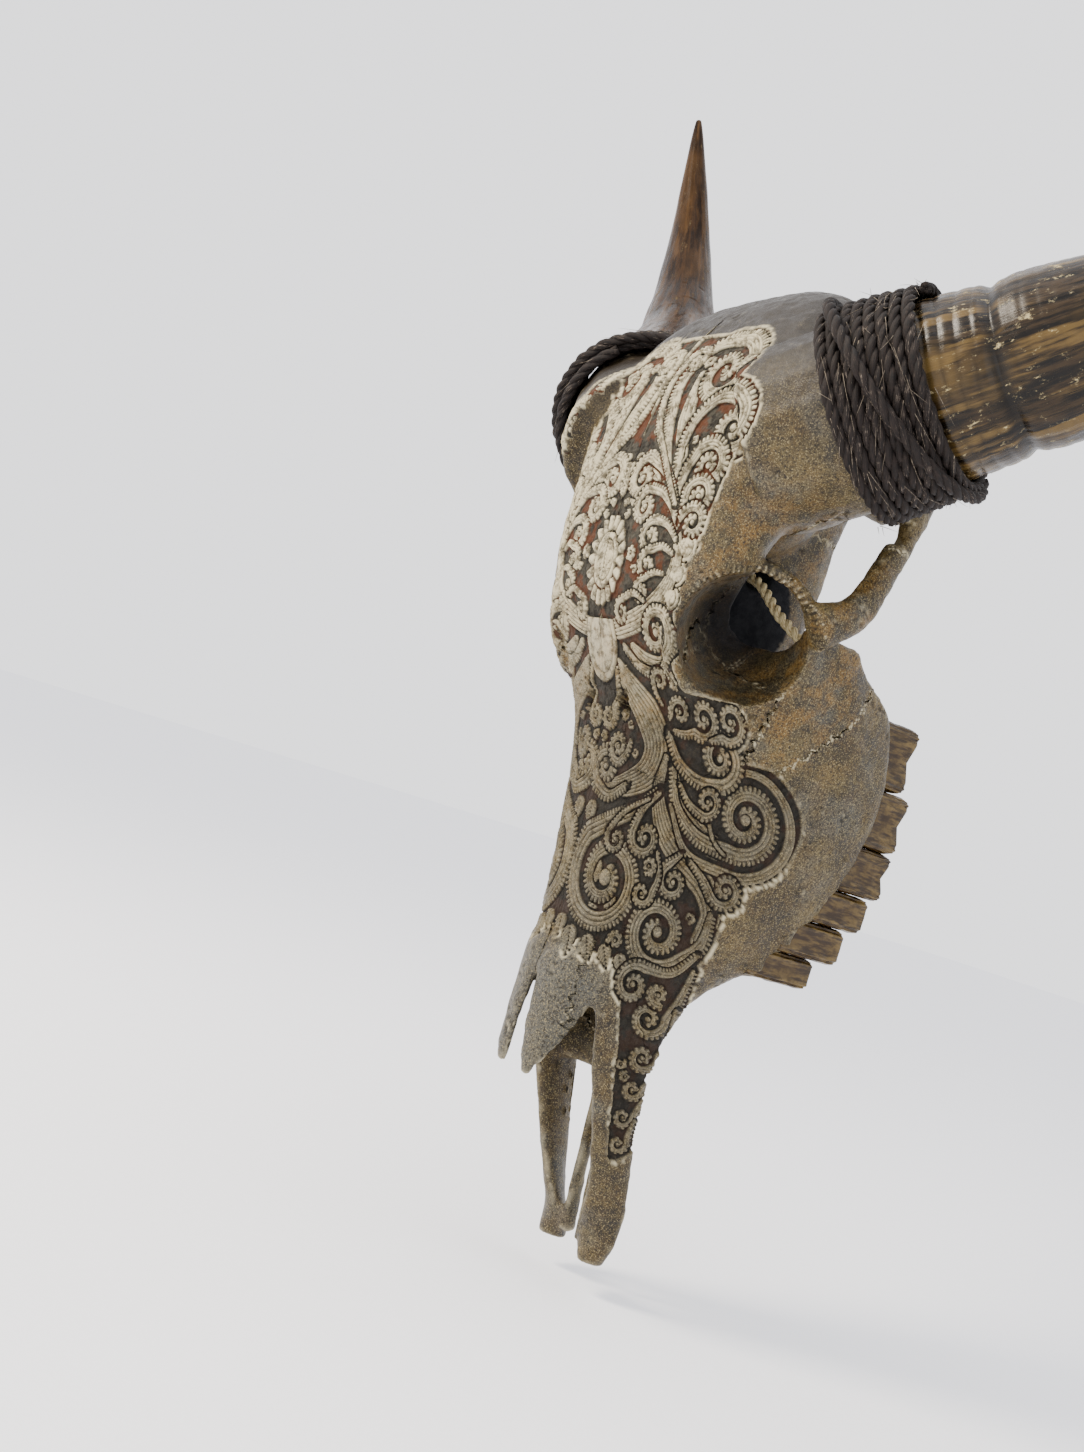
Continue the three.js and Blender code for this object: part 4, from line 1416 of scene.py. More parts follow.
SCROLLS = (
    Scroll(((50, 374), (31, 400), (20, 424), (14, 446), (25, 465), (45, 468)), (45, 448), -1.35, 4.2, 4, 3.4),
    Scroll(((53, 372), (42, 398), (43, 419), (55, 432), (73, 432)), (73, 417), -1.4, 3.6, 3, 3.2),
    Scroll(((55, 372), (50, 390), (55, 404)), (65, 397), -1.35, 2.9, 3, 2.8),
    Scroll(((57, 371), (56, 384)), (65, 381), -1.3, 2.3, 2, 2.4),
    Scroll(((57, 368), (58, 371)), (66, 368), -1.3, 2.0, 2, 2.2),
    Scroll(((50, 376), (27, 402), (11, 420), (4, 442), (6, 458)), (14, 456), -1.3, 2.2, 2, 1.6),
    Scroll(((54, 367), (46, 380), (33, 392), (16, 400)), (15, 389), 1.3, 2.8, 3, 1.8),
    Scroll(((56, 364), (47, 374), (36, 381), (25, 383)), (25, 374), 1.3, 2.3, 2, 1.8),
    Scroll(((57, 358), (48, 365), (38, 367)), (36, 359), 1.3, 2.1, 2, 1.6),
    Scroll(((57, 351), (48, 354), (40, 352)), (38, 345), 1.3, 1.8, 2, 1.6),
    Scroll(((53, 341), (45, 341), (38, 338)), (37, 332), 1.3, 1.6, 2, 1.4),
    Scroll(((40, 327), (30, 330), (22, 327)), (21, 321), 1.2, 1.5, 2, 1.4),
    Scroll(((22, 306), (35, 298), (51, 297), (61, 308)), (50, 314), 1.35, 2.8, 3, 1.8),
    Scroll(((30, 240), (18, 233), (8, 236)), (11, 246), -1.4, 2.6, 2, 3.0),
    Scroll(((28, 262), (26, 255), (21, 250)), (19, 257), -1.3, 1.8, 2, 1.8),
    Scroll(((13, 296), (14, 282), (11, 276)), (7, 271), -1.3, 1.8, 2, 1.6),
    Scroll(((56, 240), (44, 229), (27, 220), (11, 211)), (31, 192), 1.75, 4.6, 3, 3.0),
    Scroll(((56, 240), (47, 230), (43, 219)), (52, 217), 1.3, 2.2, 2, 1.8),
    Scroll(((50, 236), (34, 226), (26, 216)), (32, 212), 1.2, 1.5, 2, 1.2),
    Scroll(((64, 236), (80, 216), (108, 211)), (111, 239), 0.95, 3.2, 3, 0.0, 0.72),
    Scroll(((62, 255), (68, 238), (84, 226), (106, 223)), (111, 240), 1.6, 3.4, 3, 2.6),
    Scroll(((68, 248), (76, 240), (86, 236)), (87, 243), 1.3, 1.7, 2, 1.8),
    Scroll(((57, 270), (66, 258), (80, 252), (94, 253)), (91, 265), 1.45, 2.9, 2, 2.8),
    Scroll(((52, 282), (47, 287), (45, 292)), (50, 293), -1.2, 1.4, 2, 1.2),
    Scroll(((57, 276), (58, 279)), (64, 281), -1.2, 1.5, 2, 1.4),
    Scroll(((60, 272), (68, 272), (74, 274)), (80, 281), 1.3, 1.9, 2, 1.8),
    Scroll(((84, 272), (92, 275)), (97, 283), 1.3, 1.8, 2, 1.6),
    Scroll(((78, 214), (72, 208)), (76, 200), 1.3, 1.9, 2, 1.8),
    Scroll(((84, 213), (94, 206), (100, 199)), (107, 204), 1.35, 1.9, 2, 2.0),
    Scroll(((101, 190), (98, 174), (86, 161)), (73, 174), -1.6, 3.6, 3, 2.6),
    Scroll(((62, 212), (66, 200), (64, 192)), (58, 190), -1.2, 1.6, 2, 1.4),
    Scroll(((98, 168), (86, 155), (72, 154)), (67, 145), 1.35, 2.3, 2, 1.8),
    Scroll(((97, 160), (93, 144), (88, 132)), (79, 130), -1.3, 2.1, 2, 1.6),
    Scroll(((92, 138), (90, 120), (87, 112)), (80, 110), -1.3, 1.8, 2, 1.4),
    Scroll(((89, 110), (86, 100), (84, 95)), (79, 93), -1.2, 1.5, 2, 1.2),
    Scroll(((86, 92), (84, 84), (83, 80)), (78, 78), -1.2, 1.4, 2, 1.0),
    Scroll(((84, 78), (83, 70), (83, 67)), (79, 64), -1.2, 1.3, 2, 1.0),
)

LEAVES = (
    Leaf((6, 168), (7, 156), 4.5), Leaf((15, 164), (20, 149), 5.5), Leaf((29, 162), (36, 149), 5.0),
    Leaf((42, 160), (49, 149), 4.5), Leaf((54, 158), (58, 148), 4.0), Leaf((6, 228), (7, 214), 4.5),
    Leaf((0, 398), (0, 378), 6.0), Leaf((10, 384), (19, 370), 4.0), Leaf((12, 412), (12, 430), 4.0),
    Leaf((24, 200), (20, 182), 5.0), Leaf((38, 186), (40, 172), 4.5), Leaf((30, 178), (22, 170), 3.6),
)

BARE_LOBES = ((66, 356, 7.5), (63, 343, 7.0), (61, 331, 6.5))
MEDALLION = (346.0, 8.5, 12.0)          # height of its middle, half width and half height
SHIELD = (306.0, 15.0, 19.0, 317.0)     # the same, then where its top is cut straight

GROUND = (
    (0, 474), (26, 473), (50, 470), (68, 458), (74, 446), (72, 434), (90, 425), (92, 412), (80, 404), (79, 392),
    (77, 376), (74, 362), (69, 350), (68, 338), (66, 328), (66, 314), (64, 300), (68, 292), (84, 292), (98, 292),
    (106, 284), (104, 274), (106, 268), (124, 267), (138, 257), (143, 242), (137, 224), (124, 213), (114, 208),
    (114, 198), (104, 194), (107, 182), (102, 168), (98, 158), (95, 140), (93, 118), (90, 100), (87, 84),
    (87, 60), (76, 54), (70, 80), (66, 104), (62, 130), (60, 146), (50, 154), (38, 154), (28, 158), (18, 156),
    (10, 160), (0, 160),
)


@dataclass
class Relief:
    """The carved relief as a height over a flat sheet of the face, half of it, in millimetres."""

    pitch: float = 0.36
    across: float = 150.0
    low: float = 44.0
    high: float = 486.0
    deep: float = 1.9
    hatch: float = 2.1
    outline: float = 0.75
    seed: int = 12
    height: Array = field(init=False)
    drawn: Array = field(init=False)
    ground: Array = field(init=False)
    edge_gap: Array = field(init=False)

    def __post_init__(self) -> None:
        """Lays out the sheet, sinks its ground and draws everything on it in order."""
        self.u = np.arange(0, self.across, self.pitch)
        self.v = np.arange(self.low, self.high, self.pitch)
        self.grid_u, self.grid_v = np.meshgrid(self.u, self.v)
        self.edge_gap = self.inside_ground()
        self.ground = smooth_step(self.edge_gap, -0.5, 0.9)
        flat = np.stack([self.grid_u.ravel(), self.grid_v.ravel(), 0 * self.grid_u.ravel()], axis=1)
        stipple = value_noise(flat, 1.3, self.seed).reshape(self.grid_u.shape)
        self.height = -self.ground * (self.deep * 0.82 + 0.25 * stipple)
        self.drawn = np.zeros_like(self.height)
        for leaf in LEAVES:
            self.draw_leaf(leaf)
        for spray in SPRAYS:
            self.draw_flutes(spray)
        for scroll in sorted(SCROLLS, key=lambda s: -s.width):
            self.draw_scroll(scroll)
        self.medallion()
        self.shield()
        for u, v, radius in BARE_LOBES:
            self.draw_lobe(u, v, radius)
        self.fill_ground()
        self.border()

    def inside_ground(self) -> Array:
        """Distance inside the ground's outline, negative outside it.

        Returns:
            A value in millimetres for each cell, cut off at 9.
        """
        outline = np.array(GROUND, float)
        line = even_line(np.concatenate([outline, outline[:1]]), 2.0)
        a, b = line[:-1], line[1:]
        best = np.full(self.grid_u.shape, 9.0)
        crossings = np.zeros(self.grid_u.shape, int)
        for (ua, va), (ub, vb) in zip(a, b):
            rows = slice(*np.searchsorted(self.v, (min(va, vb) - 3, max(va, vb) + 3)))
            columns = slice(*np.searchsorted(self.u, (min(ua, ub) - 3, max(ua, ub) + 3)))
            gu, gv = self.grid_u[rows, columns], self.grid_v[rows, columns]
            along = ((gu - ua) * (ub - ua) + (gv - va) * (vb - va)) / ((ub - ua) ** 2 + (vb - va) ** 2)
            along = np.clip(along, 0, 1)
            gap = np.hypot(gu - ua - along * (ub - ua), gv - va - along * (vb - va))
            best[rows, columns] = np.minimum(best[rows, columns], gap)
            lines = slice(*np.searchsorted(self.v, (min(va, vb), max(va, vb))))
            where = ua + (self.v[lines] - va) / (vb - va + 1e-12) * (ub - ua)
            crossings[lines] += self.u[None, :] < where[:, None]
        return np.where(crossings % 2 == 1, best, -best)

    def stroke(self, line: Array, half: Array, flutes: int, fringe: float, side: float,
               hatched: bool = False) -> None:
        """Draws one carved band.

        Across the band the height is a row of rounded flutes with narrow grooves between them;
        outside it on one side lies a hatched fringe, and a cut line goes all round.

        Args:
            line: Points along the middle of the band.
            half: Its half width at each point.
            flutes: The number of flutes across it.
            fringe: The width of the fringe.
            side: The fringe's side, 1 to the left of the line and -1 to the right.
            hatched: Whether the band itself is cross-hatched like a leaf.
        """
        run = np.concatenate([[0.0], np.cumsum(np.linalg.norm(np.diff(line, axis=0), axis=1))])
        pad = float(half.max()) + fringe + self.outline + 0.4
        low, high = line.min(axis=0) - pad, line.max(axis=0) + pad
        rows = slice(*np.searchsorted(self.v, (low[1], high[1])))
        columns = slice(*np.searchsorted(self.u, (low[0], high[0])))
        gu, gv = self.grid_u[rows, columns], self.grid_v[rows, columns]
        if gu.size == 0:
            return
        best = np.full(gu.shape, 1e9)
        along, offset = np.zeros(gu.shape), np.full(gu.shape, 1e3)
        origin = np.array([self.u[columns.start], self.v[rows.start]])
        for k in range(len(line) - 1):
            a, b = line[k], line[k + 1]
            lo = np.floor((np.minimum(a, b) - pad - origin) / self.pitch).astype(int)
            hi = np.ceil((np.maximum(a, b) + pad - origin) / self.pitch).astype(int) + 1
            lo = np.maximum(lo, 0)
            part = (slice(lo[1], max(hi[1], 0)), slice(lo[0], max(hi[0], 0)))
            pu, pv = gu[part] - a[0], gv[part] - a[1]
            if pu.size == 0:
                continue
            step = b - a
            length = float(np.hypot(*step))
            share = np.clip((pu * step[0] + pv * step[1]) / length ** 2, 0, 1)
            away = (pu - share * step[0]) ** 2 + (pv - share * step[1]) ** 2
            closer = away < best[part]
            cross = (step[0] * pv - step[1] * pu) / length
            best[part] = np.where(closer, away, best[part])
            along[part] = np.where(closer, run[k] + share * length, along[part])
            offset[part] = np.where(closer, np.sign(cross) * np.sqrt(away), offset[part])
        wide = np.interp(along, run, half)
        q = offset / np.maximum(wide, 1e-3)
        phase = (np.clip(q, -1, 1) * 0.5 + 0.5) * flutes
        groove = np.abs(phase - np.floor(np.minimum(phase, flutes - 1e-6)) - 0.5) * 2
        band = 0.45 - self.deep * 0.9 * groove ** 1.9 - 0.4 * q ** 2
        if hatched:
            ticks = 0.5 - 0.5 * np.cos(2 * np.pi * (along - 0.9 * np.abs(offset)) / self.hatch)
            band = 0.3 - 0.9 * (1 - ticks) ** 1.5 - 1.0 * np.exp(-(offset / 0.6) ** 2)
        beyond = offset * side - wide
        ticks = 0.5 - 0.5 * np.cos(2 * np.pi * along / self.hatch)
        border = 0.1 - 1.25 * (1 - ticks) ** 1.3 - 0.5 * np.clip(beyond / max(fringe, 0.1), 0, 1)
        in_band = np.abs(offset) <= wide
        in_fringe = (beyond > 0) & (beyond <= fringe * (0.82 + 0.18 * ticks))
        reach = wide + self.outline + np.where(offset * side > 0, fringe, 0)
        cut = (np.abs(offset) > wide) & (np.abs(offset) <= reach)
        sheet = self.height[rows, columns]
        sheet = np.where(cut, -self.deep, sheet)
        sheet = np.where(in_fringe, border, sheet)
        sheet = np.where(in_band, band, sheet)
        self.height[rows, columns] = sheet
        self.drawn[rows, columns] = np.where(cut | in_fringe | in_band, 1.0, self.drawn[rows, columns])

    def draw_flutes(self, spray: Flutes) -> None:
        """Draws a spray of flutes.

        Args:
            spray: Its line and widths.
        """
        line = even_line(spray.line, 1.0)
        share = np.linspace(0, 1, len(line))
        half = np.interp(share, np.linspace(0, 1, len(spray.widths)), spray.widths)
        self.stroke(line, half, spray.flutes, 0.0, 1.0)

    def draw_scroll(self, scroll: Scroll) -> None:
        """Draws a scroll: its stem, then a curl whose radius shrinks towards the eye, then the eye.

        Args:
            scroll: Its drawing.
        """
        stem = even_line(scroll.stem, 1.0)
        eye = np.array(scroll.eye, float)
        start = stem[-1] - eye
        radius = float(np.hypot(*start))
        turn = 2 * math.pi * scroll.turns
        steps = max(int(abs(turn) * radius * 0.6), 14)
        t = np.linspace(0, 1, steps)[1:]
        shrink = 1 - (1 - scroll.close) * t ** 0.85
        angle = math.atan2(start[1], start[0]) + turn * t
        curl = eye + radius * shrink[:, None] * np.stack([np.cos(angle), np.sin(angle)], axis=1)
        line = np.concatenate([stem, curl])
        lead = np.linspace(0.3, 1, len(stem)) ** 0.8
        half = scroll.width * np.concatenate([lead, 0.28 + 0.72 * (1 - t)])
        self.stroke(line, half, scroll.flutes, scroll.fringe, -math.copysign(1.0, scroll.turns))
        if scroll.close < 0.5:
            self.bead(eye, radius * scroll.close * 0.95)

    def lay(self, where: Array, height: Any) -> None:
        """Sets the height of the cells that a mask picks."""
        self.height = np.where(where, height, self.height)

    def bead(self, centre: Array, radius: float) -> None:
        """Raises a small round boss with a cut line round it.

        Args:
            centre: Its place on the sheet.
            radius: Its radius.
        """
        gap = np.hypot(self.grid_u - centre[0], self.grid_v - centre[1])
        self.lay(gap < radius + 0.5, -self.deep * 0.8)
        self.lay(gap < radius, 0.4 - 0.8 * (gap / radius) ** 2)

    def draw_leaf(self, leaf: Leaf) -> None:
        """Draws a hatched leaf, widest a third of the way from its foot.

        Args:
            leaf: Its drawing.
        """
        line = even_line((leaf.foot, leaf.tip), 0.6)
        share = np.linspace(0, 1, len(line))
        half = leaf.width * (np.sin(np.pi * share ** 0.7) * 0.9 + 0.1 * (1 - share))
        self.stroke(line, half, 2, 0.0, 1.0, hatched=True)

    def medallion(self) -> None:
        """Draws the oval boss of the forehead: a hatched oval in a ring of petals."""
        height, half_u, half_v = MEDALLION
        du, dv = self.grid_u / half_u, (self.grid_v - height) / half_v
        reach = np.hypot(du, dv)
        angle = np.arctan2(dv, du)
        weave = 0.5 - 0.5 * np.cos((self.grid_u * 0.9 + self.grid_v) / self.hatch * 2 * np.pi)
        inner = 0.3 - 0.8 * (1 - weave) ** 1.5
        petal = 0.5 + 0.5 * np.cos(angle * 18)
        ring = 0.3 - 1.5 * (1 - petal) ** 1.6
        self.lay(reach < 2.05, -self.deep)
        self.lay((reach > 1.3) & (reach < 1.95 - 0.12 * (1 - petal)), ring)
        roll = 0.4 - 6 * np.abs(reach - 1.06) ** 1.2
        self.lay((reach > 0.92) & (reach < 1.2), roll)
        self.lay(reach < 0.85, inner)
        self.drawn[reach < 2.1] = 1.0

    def shield(self) -> None:
        """Draws the plain tongue below the medallion: smooth, with one line inside its edge."""
        height, half_u, half_v, top = SHIELD
        reach = np.hypot(self.grid_u / half_u, (self.grid_v - height) / half_v)
        face = 0.15 - np.exp(-((reach - 0.78) / 0.035) ** 2)
        cut = (reach < 1.07) & (self.grid_v < top + 1)
        self.lay(cut, -self.deep)
        self.lay((reach < 1.0) & (self.grid_v < top), face)
        self.drawn[cut] = 1.0

    def draw_lobe(self, u: float, v: float, radius: float) -> None:
        """Draws a bare rounded lobe on the border.

        Args:
            u: Its place round the face.
            v: Its height.
            radius: Its radius.
        """
        gap = np.hypot(self.grid_u - u, (self.grid_v - v) * 1.05)
        here = (gap < radius + self.outline) & ((self.drawn < 0.5) | (gap < radius * 0.6))
        self.lay(here, np.where(gap < radius, 0.25, -self.deep * 0.9))
        self.lay(here & (np.abs(gap - radius * 0.72) < 0.4), -0.9)
        self.drawn[here] = 1.0

    def fill_ground(self) -> None:
        """Fills the bare ground between the large forms with small curls, the largest first."""
        rng = np.random.default_rng(self.seed)
        for radius in (6.5, 5.2, 4.2, 3.3, 2.6):
            for _ in range(420):
                u, v = rng.uniform(1.0, self.across - 8), rng.uniform(self.low + 8, self.high - 8)
                start, turns = rng.uniform(0, 2 * np.pi), rng.choice((-1.25, 1.25))
                row, column = int((v - self.low) / self.pitch), int(u / self.pitch)
                reach = int(radius * 1.02 / self.pitch)
                rows = slice(max(row - reach, 0), row + reach)
                columns = slice(max(column - reach, 0), column + reach)
                if self.ground[row, column] < 0.9 or self.edge_gap[row, column] < radius * 0.9:
                    continue
                if self.drawn[rows, columns].mean() > 0.16:
                    continue
                place = (u + radius * 0.8 * math.cos(start), v + radius * 0.8 * math.sin(start))
                stem = ((place[0] - 0.5 * math.sin(start), place[1] + 0.5 * math.cos(start)), place)
                self.draw_scroll(Scroll(stem, (u, v), float(turns), radius * 0.26, 2, radius * 0.22, 0.2))

    def border(self) -> None:
        """Runs one raised line with a cut on both sides round the ground's edge."""
        free = self.drawn < 0.5
        line = np.abs(self.edge_gap - 0.2)
        self.lay(free & (line < 1.0), 0.45 - 0.5 * line ** 2)
        cut = np.abs(self.edge_gap + 1.2)
        self.lay(free & (cut < 0.45), -0.8)

    def at(self, u: Array, v: Array, sheet: Array) -> Array:
        """Reads a sheet at places between its cells, by bilinear blending.

        Args:
            u: Places round the face.
            v: Heights above the muzzle.
            sheet: The values to read.

        Returns:
            One value for each place.
        """
        x = np.clip(np.abs(u) / self.pitch, 0, len(self.u) - 1.001)
        y = np.clip((v - self.low) / self.pitch, 0, len(self.v) - 1.001)
        column, row = x.astype(int), y.astype(int)
        fx, fy = x - column, y - row
        return ((sheet[row, column] * (1 - fx) + sheet[row, column + 1] * fx) * (1 - fy)
                + (sheet[row + 1, column] * (1 - fx) + sheet[row + 1, column + 1] * fx) * fy)


# ---- the skull

@dataclass(frozen=True)
class Region:
    """The outline that parts one bone from the rest, in side or front view."""

    name: str
    outline: Outline
    paired: bool
    beyond: float | None = None     # the least x of a region that lies on both sides
    within: float | None = None     # the greatest x of a region round the midline
    before: float | None = None     # the rearmost y of a region drawn in front view


REGIONS = (
    Region("nasal_bone", ((-26, 70), (26, 70), (27, 136), (30, 200), (26, 250), (12, 278), (0, 292), (-12, 278),
                          (-26, 250), (-30, 200), (-27, 136)), True, before=-102),
    Region("premaxilla", ((-160, -20), (20, -20), (20, 70), (-48, 92), (-74, 120), (-98, 160), (-125, 204),
                          (-160, 204)), True),
    Region("lacrimal_bone", ((-200, 262), (-112, 246), (-88, 262), (-88, 306), (-112, 330), (-128, 302),
                             (-200, 286)), True, beyond=20),
    Region("zygomatic_bone", ((-88, 262), (-70, 268), (-42, 300), (-20, 352), (-20, 388), (-84, 388),
                              (-112, 346), (-112, 330), (-88, 306)), True, beyond=42),
    Region("sphenoid_bone", ((-104, 296), (0, 296), (20, 340), (0, 398), (-104, 398)), False, within=40),
    Region("maxilla", ((-200, 20), (80, 20), (80, 326), (-40, 326), (-60, 300), (-112, 284),
                       (-200, 284)), True),
    Region("frontal_bone", ((-200, 260), (-100, 260), (-104, 330), (-104, 380), (-88, 410), (-84, 470),
                            (-92, 540), (-200, 540)), False),
    Region("occipital_bone", ((-92, 470), (-40, 446), (40, 430), (40, 540), (-92, 540)), False),
)
PEDICLE = ((-200, 392), (-51, 392), (-51, 520), (-200, 520))
PEDICLE_X = 58.0
FAR = 300.0                             # beyond the skull on every side
GUM_LINE = ((172, 208, 240, 292, 314), (-22, -5, 3, 1, -9))     # height along the jaw, depth of its edge
CARVED_BONES = ("frontal_bone", "nasal_bone", "maxilla", "lacrimal_bone")


@dataclass
class Suture:
    """A cutter that parts bones along a wandering line, as bones meet in life."""

    seam: float = 0.3
    wave: float = 1.1
    wavelength: float = 7.0
    longest_wavy: float = 120.0     # a longer edge lies off the bone and stays straight

    def outline(self, corners: Sequence[tuple[float, float]], grow: float, wavy: bool = True) -> Array:
        """Draws an outline with small teeth along it.

        Args:
            corners: The outline's corners, anticlockwise.
            grow: How far the outline moves outwards.
            wavy: Whether the edges wander.

        Returns:
            Points round the outline: each edge point moves along the edge's normal by a
            sum of two sines of its distance, which fades at the corners.
        """
        given = np.array(corners, float)
        parts = []
        for k, corner in enumerate(given):
            after = given[(k + 1) % len(given)]
            length = float(np.hypot(*(after - corner)))
            if not wavy or length > self.longest_wavy:
                parts.append(corner[None, :])
                continue
            s = np.linspace(0, length, max(int(length / 1.4), 1), endpoint=False)
            out = np.array([after[1] - corner[1], corner[0] - after[0]]) / length
            fade = np.minimum(1, np.minimum(s, length - s) / 5)
            bend = np.sin(s / self.wavelength * 2 * np.pi + k * 1.7) + 0.6 * np.sin(s / 2.9 * 2 * np.pi + k)
            sway = out * (self.wave * fade * bend)[:, None]
            parts.append(corner + (after - corner) * (s / length)[:, None] + sway)
        line = np.concatenate(parts)
        ahead, behind = np.roll(line, -1, axis=0) - line, line - np.roll(line, 1, axis=0)
        normal = sum(unit(np.stack([edge[:, 1], -edge[:, 0]], axis=1)) for edge in (ahead, behind))
        return line + unit(normal) * grow

    def prism(self, outline: Array, low: float, high: float, front_view: bool) -> Solid:
        """Draws an outline out into a closed prism, along x or, in front view, along y.

        Args:
            outline: Points round it.
            low: Where it starts.
            high: Where it ends.
            front_view: Whether it runs along y.

        Returns:
            The prism.
        """
        count = len(outline)
        ends = [np.full((count, 1), end) for end in (low, high)]
        if front_view:
            rings = [np.concatenate([outline[:, :1], end, outline[:, 1:]], axis=1) for end in ends]
        else:
            rings = [np.concatenate([end, outline], axis=1) for end in ends]
        ring = np.arange(count)
        after = (ring + 1) % count
        corners = ((ring, after, after + count), (ring, after + count, ring + count))
        walls = [np.stack(corner, axis=1) for corner in corners]
        caps = bpy.data.meshes.new("cap")
        caps.from_pydata([(float(a), float(b), 0.0) for a, b in outline], [], [tuple(range(count))])
        caps.calc_loop_triangles()
        cap = np.array([t.vertices[:] for t in caps.loop_triangles], np.int64)
        bpy.data.meshes.remove(caps)
        faces = np.concatenate([*walls, cap[:, ::-1], cap + count])
        if front_view:
            faces = faces[:, ::-1]
        return np.concatenate(rings), faces

    def cutters(self, region: Region, grow: float) -> list[Solid]:
        """The prisms that hold one bone's region, each grown by the seam.

        Args:
            region: The region.
            grow: How far the prisms grow.

        Returns:
            The prisms.
        """
        line = self.outline(region.outline, grow)
        if region.before is not None:
            return [self.prism(line, -FAR, region.before + grow, True)]
        if region.beyond is not None:
            low = region.beyond - grow
            return [self.prism(line, low, FAR, False), self.prism(line, -FAR, -low, False)]
        if region.within is not None:
            high = region.within + grow
            return [self.prism(line, -high, high, False)]
        cutters = [self.prism(line, -FAR, FAR, False)]
        if region.name == "frontal_bone":
            corner = self.outline(PEDICLE, grow, False)
            low = PEDICLE_X - grow
            cutters += [self.prism(corner, low, FAR, False), self.prism(corner, -FAR, -low, False)]
        return cutters


@dataclass
class Skull:
    """The carved skull: modelled whole, parted into its bones, then carved bone by bone."""

    voxel: float = 1.9
    swell: float = 0.35
    smoothing: int = 16
    carve_edge: float = 0.8
    rim_edge: float = 1.2
    orbit: Place = (76.0, -113.5, 322.0)
    orbit_axis: Place = (0.864, -0.43, -0.26)
    orbit_radius: float = 33.0
    core_y: float = -72.0               # depth of the line inside the face that the carver works round
    skin_depth: float = 4.0
    cells: tuple[int, int] = (90, 240)  # directions and heights at which the outer skin is measured
    muzzle: float = 96.0                # below this the blades are thin and barely smoothed
    neck: tuple[float, float] = (84.0, 405.0)
    relief: Relief = field(default_factory=Relief)

    def build(self) -> None:
        """Makes every bone of the skull."""
        self.bone = AgedBone().material()
        whole = self.whole()
        self.measure_front(whole[0])
        LOG.info("whole skull: %d faces", len(whole[1]))
        suture = Suture()
        for name, solid in self.parted(whole, suture).items():
            if name == "frontal_bone":
                for half, (points, faces) in self.sides_of(name, solid, True, suture).items():
                    self.carve(half, points, faces, name)
            else:
                self.carve(name, *solid, name)
        self.vomer()

    def node_mesh(self, name: str) -> Solid:
        """A copy of a frame node's mesh, welded, in the maker's measure."""
        points, faces = read_mesh(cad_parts[name].data)
        return welded(to_measure(points), faces)

    def whole(self) -> Solid:
        """Joins the bones, each swollen across its seams, with the tooth roots and smooths the skin.

        Returns:
            The whole skull as one skin.
        """
        stock = []
        for name in (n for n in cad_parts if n.endswith(("_bone", "maxilla"))):
            points, faces = self.node_mesh(name)
            stock.append((points + point_normals(points, faces) * self.swell, faces))
        for tooth in TEETH:
            for side in Side:
                points, faces = self.node_mesh(f"{side.word}_{tooth.name}")
                gum = float(np.interp(tooth.z, *GUM_LINE)) - 2
                points[:, 1] = np.minimum(points[:, 1], gum)
                stock.append((points + point_normals(points, faces) * self.swell * 1.4, faces))
        points, faces = remeshed(*joined(stock), self.voxel)
        from_rim = np.abs(self.orbit_places(points)[0] - self.orbit_radius - 3)
        weight = np.clip(from_rim / 12, 0.25, 1.0)
        weight = np.where(points[:, 2] < self.muzzle, 0.35, weight)
        at_neck = (np.abs(points[:, 0]) > self.neck[0]) & (points[:, 2] > self.neck[1])
        weight = np.where(at_neck, 0.2, weight)
        return relaxed(points, faces, self.smoothing, weight), faces

    def orbit_places(self, points: Points) -> tuple[Array, Array, Array]:
        """Distance from the nearer eye socket's axis, place along that axis and angle round it.

        Args:
            points: Any points.

        Returns:
            Three values for each point.
        """
        folded = np.stack([np.abs(points[:, 0]), points[:, 1], points[:, 2]], axis=1)
        axis = unit(np.array(self.orbit_axis))
        away = folded - np.array(self.orbit)
        along = away @ axis
        flat = away - along[:, None] * axis
        side = unit(np.cross([0.0, 0.0, 1.0], axis))
        up = np.cross(axis, side)
        return np.linalg.norm(flat, axis=1), along, np.arctan2(flat @ up, flat @ side)

    def outward(self, points: Points) -> Points:
        """The direction the carver's tool faces: away from a line inside the face, tipped up at the poll.

        Args:
            points: Any points.

        Returns:
            One unit direction for each.
        """
        rise = 60.0 * smooth_step(points[:, 2], 440, 505)
        return unit(np.stack([points[:, 0], points[:, 1] - self.core_y, rise], axis=1))

    def measure_front(self, points: Points) -> None:
        """Measures the ridge line of the face and the outermost radius in each direction.

        Args:
            points: The whole skull's points.
        """
        near = np.abs(points[:, 0]) < 5
        self.ridge_z = np.arange(80, 516, 6.0)
        slot = np.clip(((points[near, 2] - 80) / 6 + 0.5).astype(int), 0, len(self.ridge_z) - 1)
        ridge = np.full(len(self.ridge_z), -100.0)
        np.minimum.at(ridge, slot, points[near, 1])
        ridge = np.where(self.ridge_z < 134, -120.0, ridge)     # past the nose opening
        self.ridge_y = np.convolve(np.pad(ridge, 2, mode="edge"), np.ones(5) / 5, mode="valid")
        angle, level, radius = self.turned(points)
        outer = np.zeros(self.cells)
        np.maximum.at(outer, (angle, level), radius)
        for _ in range(2):
            padded = np.pad(outer, 1, mode="edge")
            rows, columns = self.cells
            around = np.stack([padded[i:i + rows, j:j + columns] for i, j in np.ndindex(3, 3)])
            outer = np.where(outer > 0, outer, around.max(axis=0))
        self.outer = outer

